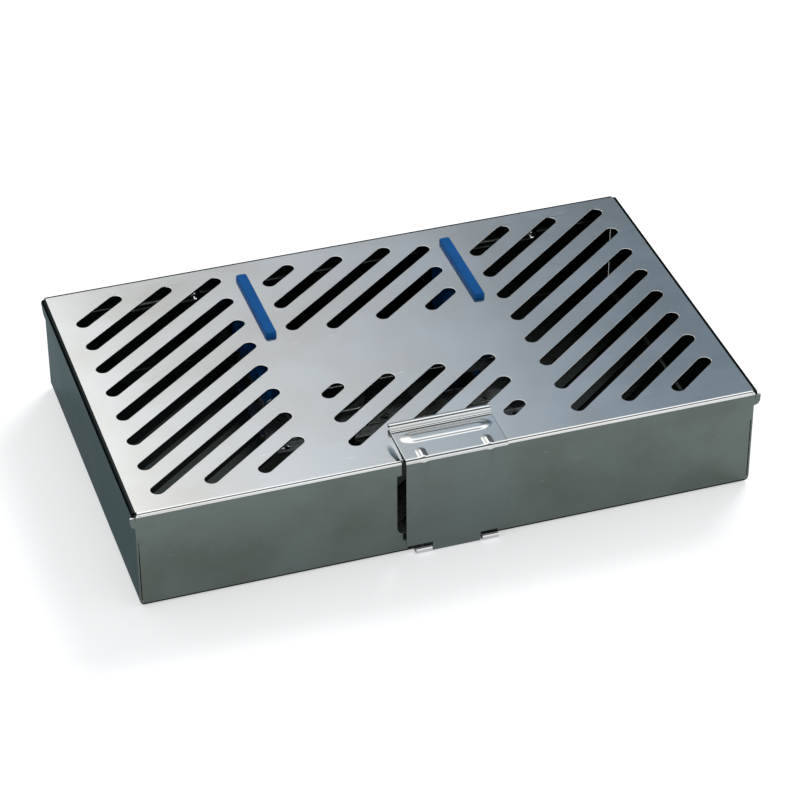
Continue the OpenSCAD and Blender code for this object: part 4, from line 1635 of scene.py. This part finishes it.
@dataclass
class Rack:
    """One instrument rack: a folded rail on an outward foot, with a silicone comb pushed on."""

    side: int
    suffix: str
    foot: float = 8.0
    height: float = 17.0
    bend_r: float = 1.2
    corner_r: float = 3.0
    comb_w: float = 6.0
    comb_low: float = 9.3
    comb_high: float = 31.3
    notches: int = 5
    notch_r: float = 5.0
    notch_pitch: float = 12.6
    notch_depth: float = 12.0
    play: float = 0.05
    edge: float = 0.12
    notch_facets: int = 12
    comb_edge: float = 0.6
    comb_facets: int = 3

    def build(self) -> None:
        """Build the rail and its comb."""
        self.build_rail()
        self.build_comb()

    def build_rail(self) -> None:
        """Fold the rail, round its corners and drill it for the rivets."""
        middle, half = self.side * CASE.rack_y, CASE.rack_length / 2
        strip = Strip(middle - half, middle + half, -CASE.band_x - self.foot, CASE.foot_z, 0)
        rise = self.height + CASE.sheet - CASE.foot_z - self.bend_r
        strip.run(self.foot - self.bend_r).turn(self.bend_r, 90).run(rise)
        rail = strip.obj
        round_corners(rail, self.corner_r)
        thicken(rail, CASE.sheet)
        swing(rail, self.side * 90)
        CASE.drill(rail, tuple(spot for spot in CASE.rack_rivets if spot[0] * self.side > 0))
        complete(rail, self.edge, f"rack_{self.suffix}", Finish.PLATE)

    def build_comb(self) -> None:
        """Cut the comb's notches and its groove, and round its edges like a moulding."""
        x, y = self.side * CASE.band_x, CASE.rack_y
        comb = slab(x, y, self.comb_w, CASE.rack_length, self.comb_low, self.comb_high)
        groove_w = CASE.sheet + 2 * self.play
        groove_top = CASE.sheet + self.height + self.play
        combine(comb, slab(x, y, groove_w, CASE.rack_length + 2 * PAST, self.comb_low - PAST, groove_top))
        foot_z = self.comb_high - self.notch_depth
        for k in range(self.notches):
            notch_y = y + (k - (self.notches - 1) / 2) * self.notch_pitch
            notch = slab(x, notch_y, 2 * self.comb_w, 2 * self.notch_r, foot_z, self.comb_high + PAST)
            radius = self.notch_r - self.play
            round_edges(notch, lambda m, r: near(m.z, foot_z) and abs(r.x) > LONG, radius, self.notch_facets)
            combine(comb, notch)
        complete(comb, self.comb_edge, f"comb_{self.suffix}", Finish.BLUE, steps=self.comb_facets)


@dataclass
class Divider:
    """The divider: a folded sheet with two long holes and a foot towards the front."""

    y: float = 8.0
    height: float = 24.0
    foot: float = 8.0
    reach: float = 55.4
    bend_r: float = 1.2
    corner_r: float = 4.0
    hole_x: float = 27.7
    hole_run: float = 27.7
    hole_w: float = 8.0
    hole_z: float = 15.2
    hole_facets: int = 8
    edge: float = 0.12

    def build(self) -> None:
        """Fold the sheet, cut its holes and dress it."""
        wall = self.y - CASE.sheet / 2
        start = self.y - CASE.sheet - self.foot
        strip = Strip(-self.reach, self.reach, start, CASE.foot_z, 0)
        strip.run(wall - start - self.bend_r).turn(self.bend_r, 90)
        strip.run(self.height + CASE.sheet - CASE.foot_z - self.bend_r)
        divider = strip.obj
        round_corners(divider, self.corner_r)
        thicken(divider, CASE.sheet)
        length, half = self.hole_run + self.hole_w, self.hole_w / 2
        for side in SIDES:
            low, high = self.hole_z - half, self.hole_z + half
            hole = slab(side * self.hole_x, self.y, length, 2 * CASE.reach, low, high)
            round_edges(hole, lambda m, r: abs(r.y) > LONG, half * ALMOST, self.hole_facets)
            combine(divider, hole)
        CASE.drill(divider, CASE.divider_rivets)
        complete(divider, self.edge, "divider", Finish.PLATE)


@dataclass
class SpringClips:
    """Two spring clips, each a strip bent to a seat, two round arms and flared lips."""

    y: float = -8.2
    length: float = 8.0
    sheet: float = 0.6
    inner_r: float = 4.0
    seat: float = 3.0
    foot_r: float = 0.6
    arm_to: float = 129.0
    lip_r: float = 0.6
    lip_turn: float = 99.0
    lip: float = 1.4
    corner_r: float = 1.0
    edge: float = 0.1

    def build(self) -> None:
        """Bend one clip, copy it and dress the two."""
        clips = repeat(self.bent(), [(x, 0) for x, _ in CASE.clip_rivets])
        # The clips share the spring sheet darkened as painted shade
        settle(clips, "spring_clips", Finish.SPRING, "tray", "spring_clips")

    def bent(self) -> bpy.types.Object:
        """Bend a strip from lip to lip, then drill it and seat it on the floor.

        Returns:
            The clip, in the middle of the case.
        """
        half = self.sheet / 2
        arm_r = self.inner_r + half
        centre = half + math.sqrt(self.inner_r ** 2 - self.seat ** 2)
        foot = math.degrees(math.acos((centre - self.foot_r) / (arm_r - self.foot_r)))
        seat = 2 * (arm_r - self.foot_r) * math.sin(math.radians(foot))
        strip = Strip(-self.length / 2, self.length / 2, 0, 0, self.lip_turn - self.arm_to)
        strip.run(self.lip).turn(self.lip_r, -self.lip_turn)
        strip.turn(arm_r, self.arm_to - foot).turn(self.foot_r, foot)
        strip.run(seat).turn(self.foot_r, foot).turn(arm_r, self.arm_to - foot)
        strip.turn(self.lip_r, -self.lip_turn).run(self.lip)
        clip = strip.obj
        round_corners(clip, self.corner_r)
        thicken(clip, self.sheet)
        corners = [vertex.co for vertex in clip.data.vertices]
        middle = (min(p.y for p in corners) + max(p.y for p in corners)) / 2
        clip.data.transform(Matrix.Translation((0, self.y - middle, CASE.sheet - min(p.z for p in corners))))
        CASE.drill(clip, ((0.0, self.y),))
        face_outwards(clip)
        soften(clip, self.edge)
        return clip


@dataclass
class TipStand:
    """The tip stand: a bent bridge of sheet with six silicone grommets in its shelf."""

    width: float = 14.0
    y: float = -45.0
    length: float = 50.0
    height: float = 16.0
    foot: float = 8.0
    bend_r: float = 1.2
    corner_r: float = 3.0
    grommets: int = 6
    pitch: float = 7.6
    rim_r: float = 3.0
    neck_r: float = 2.1
    bore_r: float = 1.2
    play: float = 0.05
    edge: float = 0.12
    rim_edge: float = 0.25
    rim_facets: int = 24

    def build(self) -> None:
        """Build the bridge and its grommets."""
        self.build_bridge()
        self.build_grommets()

    def spots(self) -> list[float]:
        """Give the grommets' places along the shelf."""
        return [self.y + (k - (self.grommets - 1) / 2) * self.pitch for k in range(self.grommets)]

    def build_bridge(self) -> None:
        """Bend the bridge from foot to foot, then drill it."""
        half, start = self.width / 2, self.y - self.length / 2 - self.foot
        foot = self.foot + CASE.sheet / 2 - self.bend_r
        leg = self.height - CASE.sheet - 2 * self.bend_r
        shelf = self.length - CASE.sheet - 2 * self.bend_r
        strip = Strip(CASE.band_x - half, CASE.band_x + half, start, CASE.foot_z, 0)
        strip.run(foot).turn(self.bend_r, 90).run(leg).turn(self.bend_r, -90).run(shelf)
        strip.turn(self.bend_r, -90).run(leg).turn(self.bend_r, 90).run(foot)
        bridge = strip.obj
        round_corners(bridge, self.corner_r)
        thicken(bridge, CASE.sheet)
        CASE.drill(bridge, CASE.stand_rivets)
        top, radius = self.height + CASE.sheet, self.neck_r + self.play
        combine(bridge, join([rod((CASE.band_x, y, top), radius, 2 * CASE.reach, "Z") for y in self.spots()]))
        complete(bridge, self.edge, "tip_stand", Finish.PLATE)

    def build_grommets(self) -> None:
        """Turn one grommet with its groove and copy it to every hole."""
        low, high, rim = self.height, self.height + CASE.sheet, CASE.sheet
        grommet = lathe([
            (self.bore_r, low - rim), (self.rim_r, low - rim), (self.rim_r, low), (self.neck_r, low),
            (self.neck_r, high), (self.rim_r, high), (self.rim_r, high + rim), (self.bore_r, high + rim),
            (self.bore_r, low - rim)], self.rim_facets)
        soften(grommet, self.rim_edge)
        grommets = repeat(grommet, [(CASE.band_x, y) for y in self.spots()])
        settle(grommets, "tip_grommets", Finish.GREY, "tray", "tip_grommets")


@dataclass
class PartsBox:
    """The small parts box in the front left corner, with its hinged lid and their pin."""

    x: float = -97.0
    y: float = -64.5
    width: float = 66.0
    depth: float = 26.0
    height: float = 15.0
    sheet: float = 0.6
    play: float = 0.05
    corner_r: float = 3.0
    foot_r: float = 1.2
    lip: float = 1.5
    pin_r: float = 0.6
    pin_end: float = 4.0
    knuckle: float = 17.5
    knuckle_x: float = 20.25
    knuckle_curl: float = 150.0
    lid_knuckle: float = 22.0
    lid_lap: float = 1.2
    facets: int = 6
    foot_facets: int = 4
    hole_facets: int = 20
    hole_r: float = 1.5
    hole_pitch: float = 6.0
    columns: int = 10
    rows: int = 3
    edge: float = 0.1

    def __post_init__(self) -> None:
        """Work out the hinge line and the knuckles' middle radius."""
        self.reach = self.pin_r + self.play + self.sheet
        self.knuckle_r = self.reach - self.sheet / 2
        self.rear = self.y + self.depth / 2
        self.top = CASE.sheet + self.height
        self.hinge_y = self.rear + self.play + self.reach
        self.hinge_z = self.top - self.reach

    def build(self) -> None:
        """Build the box, its lid and the pin."""
        self.build_tub()
        self.build_lid()
        place = (self.x, self.hinge_y, self.hinge_z)
        Pin("parts_box_pin", place, self.width - 2 * self.pin_end, self.pin_r).build()

    def build_tub(self) -> None:
        """Draw the box with round corners, punch it and curl its two knuckles."""
        tub = self.shell(0.0, self.top - self.sheet - self.play)
        combine(tub, self.shell(self.sheet, self.top + PAST))
        combine(tub, self.wash_holes(CASE.sheet))
        start = self.rear - self.sheet / 2
        for side in SIDES:
            x = self.x + side * self.knuckle_x
            low = self.hinge_z - self.knuckle_r
            strip = Strip(x - self.knuckle / 2, x + self.knuckle / 2, start, low, 0)
            strip.run(self.hinge_y - start).turn(self.knuckle_r, self.knuckle_curl)
            combine(tub, strip.sheet(self.sheet), "UNION")
        complete(tub, self.edge, "parts_box", Finish.PLATE)

    def build_lid(self) -> None:
        """Cut the lid's plate with its finger edge, punch it and curl its knuckle."""
        depth = self.depth + self.lip
        plate = slab(self.x, self.rear - depth / 2, self.width, depth, self.top - self.sheet, self.top)
        round_edges(plate, lambda m, r: abs(r.z) > self.sheet / 2, self.corner_r, self.facets)
        combine(plate, self.wash_holes(self.top))
        half, start = self.lid_knuckle / 2, self.rear - self.lid_lap
        strip = Strip(self.x - half, self.x + half, start, self.top - self.sheet / 2, 0)
        strip.run(self.hinge_y - start).turn(self.knuckle_r, -CASE.curl)
        combine(plate, strip.sheet(self.sheet), "UNION")
        complete(plate, self.edge, "parts_box_lid", Finish.PLATE, "parts_box_cover")

    def shell(self, inset: float, top: float) -> bpy.types.Object:
        """Make a solid with the box's rounded outline.

        Args:
            inset: The distance inside the outline.
            top: The height of its upper face.

        Returns:
            The solid.
        """
        low = CASE.sheet + inset
        solid = slab(self.x, self.y, self.width - 2 * inset, self.depth - 2 * inset, low, top)
        round_edges(solid, lambda m, r: abs(r.z) > LONG, self.corner_r - inset, self.facets)
        round_edges(solid, lambda m, r: near(m.z, low), self.foot_r - inset, self.foot_facets)
        return solid

    def wash_holes(self, z: float) -> bpy.types.Object:
        """Make the punches of the wash holes.

        Args:
            z: The height of the sheet that they go through.

        Returns:
            All the punches as one object.
        """
        punches = []
        for column in range(self.columns):
            for row in range(self.rows):
                spot = (self.x + (column - (self.columns - 1) / 2) * self.hole_pitch,
                        self.y + (row - (self.rows - 1) / 2) * self.hole_pitch, z)
                punches.append(rod(spot, self.hole_r, 2 * CASE.reach, "Z", self.hole_facets))
        return join(punches)


# Stage, light and camera


@dataclass
class Studio:
    """A pale floor, a soft key light from behind and the camera of the photograph."""

    lens_mm: float = 137.1
    sensor_mm: float = 36.0
    sight_m: float = 20.0
    camera_mm: tuple[float, float, float] = (-328.9, -1024.3, 787.1)
    aim: tuple[float, float, float] = (0.25125, 0.77361, -0.58173)
    roll_deg: float = -0.28
    floor_mm: float = 6000.0
    floor_drop: float = 0.2
    floor_roughness: float = 0.9
    floor_gleam: float = 0.1
    shade_inset: float = 4.0
    floor_colour: str = "F4F5F6"
    # The paper's colour under the case, painted shade
    shade_colour: str = "26282A"
    floor_lift: float = 0.52
    key_place: tuple[float, float, float] = (1.3, 1.4, 1.9)
    key_size: tuple[float, float] = (1.0, 0.7)
    key_watts: float = 24.0
    fill: float = 0.52
    # Shares of the sweep between which the rear sky gives way to the one over the case
    rear_to: tuple[float, float] = (0.26, 0.34)
    # The sweep from the rear horizon over the top to the front one, as shares with strengths
    over: tuple = ((0.0, 0.5), (0.13, 0.34), (0.185, 0.58), (0.2, 0.9), (0.22, 1.04), (0.25, 1.15),
                   (0.3, 1.3), (0.34, 1.5), (0.37, 1.95), (0.45, 1.95), (0.53, 0.15), (0.72, 0.15),
                   (0.77, 1.6), (0.9, 1.35), (1.0, 0.9))
    # The rear sky from left to right, as places with a strength and the shares of red and blue
    fade: tuple = ((-0.84, 1.0, 1.0, 1.0), (-0.74, 0.9, 1.0, 1.0), (-0.24, 0.9, 1.0, 1.0),
                   (-0.12, 1.7, 1.0, 0.98), (0.11, 2.7, 1.0, 0.98), (0.17, 0.92, 1.0, 0.99),
                   (0.21, 1.06, 0.97, 1.04), (0.245, 0.89, 0.94, 1.08), (0.275, 0.7, 0.88, 1.13),
                   (0.295, 0.55, 0.83, 1.16), (0.315, 0.36, 0.79, 1.2), (0.335, 0.3, 0.77, 1.22),
                   (0.38, 0.29, 0.73, 1.27), (0.44, 0.3, 0.9, 1.1), (0.74, 0.6, 1.0, 1.0),
                   (0.84, 0.8, 1.0, 1.0))

    def build(self) -> None:
        """Make the floor, the world, the lamps and the camera."""
        self.floor()
        self.world()
        self.lamps()
        self.camera()

    def floor(self) -> None:
        """Lay the pale floor under the case."""
        place = (0, 0, -self.floor_drop * MM)
        bpy.ops.mesh.primitive_plane_add(size=self.floor_mm * MM, location=place)
        floor = bpy.context.active_object
        floor.name = "floor"
        floor.data.materials.append(self.paper())

    def paper(self) -> bpy.types.Material:
        """Build the floor's matte paper, which shows near white, with painted shade under the case.

        Returns:
            The finished material.
        """
        material, shader, place = start_material("Matte paper floor")
        tree = material.node_tree
        path = add_node(tree, "LightPath")
        seen = add_node(tree, "Math", {"operation": "MAXIMUM"}, {
            0: path.outputs["Is Camera Ray"], 1: path.outputs["Is Glossy Ray"]})
        seen = add_node(tree, "Math", {"operation": "MAXIMUM"}, {
            0: seen.outputs["Value"], 1: path.outputs["Is Transmission Ray"]})
        outside = self.beside_case(tree, place)
        # Under the case the paper takes a dark colour, painted shade
        paper = add_node(tree, "Mix", {"data_type": "RGBA"}, {
            "Factor": outside, MIX_A: linear(self.shade_colour), MIX_B: linear(self.floor_colour)})
        lift = add_node(tree, "Math", {"operation": "MULTIPLY"}, {0: seen.outputs["Value"], 1: outside})
        glow = add_node(tree, "Math", {"operation": "MULTIPLY"}, {
            0: lift.outputs["Value"], 1: self.floor_lift})
        tree.links.new(paper.outputs[MIX_OUT], shader.inputs["Base Color"])
        tree.links.new(glow.outputs["Value"], shader.inputs["Emission Strength"])
        shader.inputs["Emission Color"].default_value = linear(self.floor_colour)
        shader.inputs["Roughness"].default_value = self.floor_roughness
        shader.inputs["Specular IOR Level"].default_value = self.floor_gleam
        return material

    def beside_case(self, tree: bpy.types.NodeTree, place: bpy.types.NodeSocket) -> bpy.types.NodeSocket:
        """Tell the open floor from the part under the case.

        Args:
            tree: The floor's node tree.
            place: The socket that gives the place on the floor.

        Returns:
            A mask that is 1 on the open floor.
        """
        axes = add_node(tree, "SeparateXYZ", {}, {0: place})
        masks = []
        for axis, reach in (("X", CASE.tray_x), ("Y", CASE.tray_y)):
            away = add_node(tree, "Math", {"operation": "ABSOLUTE"}, {0: axes.outputs[axis]})
            masks.append(add_node(tree, "Math", {"operation": "GREATER_THAN"}, {
                0: away.outputs["Value"], 1: (reach - self.shade_inset) * MM}).outputs["Value"])
        return add_node(tree, "Math", {"operation": "MAXIMUM"}, {0: masks[0], 1: masks[1]}).outputs["Value"]

    def world(self) -> None:
        """Light the case from a weak even sky, let metal mirror a shaped one and show white behind."""
        world = bpy.data.worlds.new("studio")
        bpy.context.scene.world = world
        world.use_nodes = True
        tree = world.node_tree
        white = (1.0, 1.0, 1.0, 1.0)
        path = add_node(tree, "LightPath")
        metal = add_node(tree, "Math", {"operation": "MAXIMUM"}, {
            0: path.outputs["Is Glossy Ray"], 1: path.outputs["Is Transmission Ray"]})
        soft = add_node(tree, "Mix", {"data_type": "RGBA"}, {
            "Factor": metal.outputs["Value"], MIX_A: dim(white, self.fill), MIX_B: self.sky(tree, white)})
        seen = add_node(tree, "Mix", {"data_type": "RGBA"}, {
            "Factor": path.outputs["Is Camera Ray"], MIX_A: soft.outputs[MIX_OUT], MIX_B: white})
        tree.links.new(seen.outputs[MIX_OUT], tree.nodes["Background"].inputs["Color"])

    def sky(self, tree: bpy.types.NodeTree, white: tuple) -> bpy.types.NodeSocket:
        """Draw the sky that metal mirrors: a pale horizon, a soft box above it and a dark flag in front.

        Args:
            tree: The world's node tree.
            white: The light's colour at a strength of 1.

        Returns:
            The sky's colour.
        """
        way = add_node(tree, "SeparateXYZ", {}, {0: add_node(tree, "TexCoord").outputs["Generated"]})
        sweep = add_node(tree, "Math", {"operation": "ARCTAN2"}, {0: way.outputs["Z"], 1: way.outputs["Y"]})
        share = add_node(tree, "Math", {"operation": "DIVIDE"}, {0: sweep.outputs["Value"], 1: math.pi})
        over = set_ramp(add_node(tree, "ValToRGB", {}, {"Fac": share.outputs["Value"]}), [
            (place, dim(white, strength)) for place, strength in self.over])
        across = add_node(tree, "MapRange", {}, {
            "Value": way.outputs["X"], "From Min": -1.0, "From Max": 1.0, "To Min": 0.0, "To Max": 1.0})
        fade = set_ramp(add_node(tree, "ValToRGB", {}, {"Fac": across.outputs["Result"]}), [
            ((place + 1) / 2, (strength * red, strength, strength * blue, 1.0))
            for place, strength, red, blue in self.fade])
        rear = add_node(tree, "Mix", {"data_type": "RGBA", "blend_type": "MULTIPLY"}, {
            "Factor": 1.0, MIX_A: over.outputs["Color"], MIX_B: fade.outputs["Color"]})
        start, end = self.rear_to
        ahead = add_node(tree, "MapRange", {}, {
            "Value": share.outputs["Value"], "From Min": start, "From Max": end})
        shaped = add_node(tree, "Mix", {"data_type": "RGBA"}, {
            "Factor": ahead.outputs["Result"], MIX_A: rear.outputs[MIX_OUT], MIX_B: over.outputs["Color"]})
        return shaped.outputs[MIX_OUT]

    def lamps(self) -> None:
        """Hang one wide soft box behind the case, to the right, which metal doesn't mirror."""
        data = bpy.data.lights.new("key", "AREA")
        data.shape = "RECTANGLE"
        data.size, data.size_y = self.key_size
        data.energy = self.key_watts
        lamp = bpy.data.objects.new("key", data)
        place = Vector(self.key_place)
        lamp.location = place
        lamp.rotation_euler = (-place).to_track_quat("-Z", "Y").to_euler()
        lamp.visible_glossy = False
        bpy.context.collection.objects.link(lamp)

    def camera(self) -> None:
        """Set the camera where the photograph's was."""
        data = bpy.data.cameras.new("camera")
        data.lens = self.lens_mm
        data.sensor_width = self.sensor_mm
        data.clip_end = self.sight_m
        camera = bpy.data.objects.new("camera", data)
        turn = Vector(self.aim).to_track_quat("-Z", "Y").to_matrix().to_4x4()
        roll = Matrix.Rotation(math.radians(self.roll_deg), 4, "Z")
        camera.matrix_world = Matrix.Translation(Vector(self.camera_mm) * MM) @ turn @ roll
        bpy.context.collection.objects.link(camera)
        bpy.context.scene.camera = camera


# Scene


def main() -> None:
    """Build the scene in order and report each piece."""
    bpy.context.scene.view_settings.view_transform = "Standard"
    MADE.update({finish: finish.value.make() for finish in Finish})
    Lid().build()
    Tray().build()
    Latch().build()
    for side, suffix in zip(SIDES, ("left", "right")):
        HoldDown(side, f"hold_down_{suffix}").build()
        Pin(f"hinge_pin_{suffix}", (side * CASE.hinge_x, CASE.hinge_y, CASE.hinge_z),
            CASE.tray_knuckle + 2 * (CASE.lid_knuckle + CASE.knuckle_play), CASE.pin_r).build()
        Rack(side, suffix).build()
    Divider().build()
    SpringClips().build()
    TipStand().build()
    PartsBox().build()
    Rivets("rack_rivets", CASE.rack_rivets).build()
    Rivets("divider_rivets", CASE.divider_rivets).build()
    Rivets("clip_rivets", CASE.clip_rivets, CASE.sheet + SpringClips.sheet).build()
    Rivets("stand_rivets", CASE.stand_rivets).build()
    Studio().build()


if __name__ == "__main__":
    main()
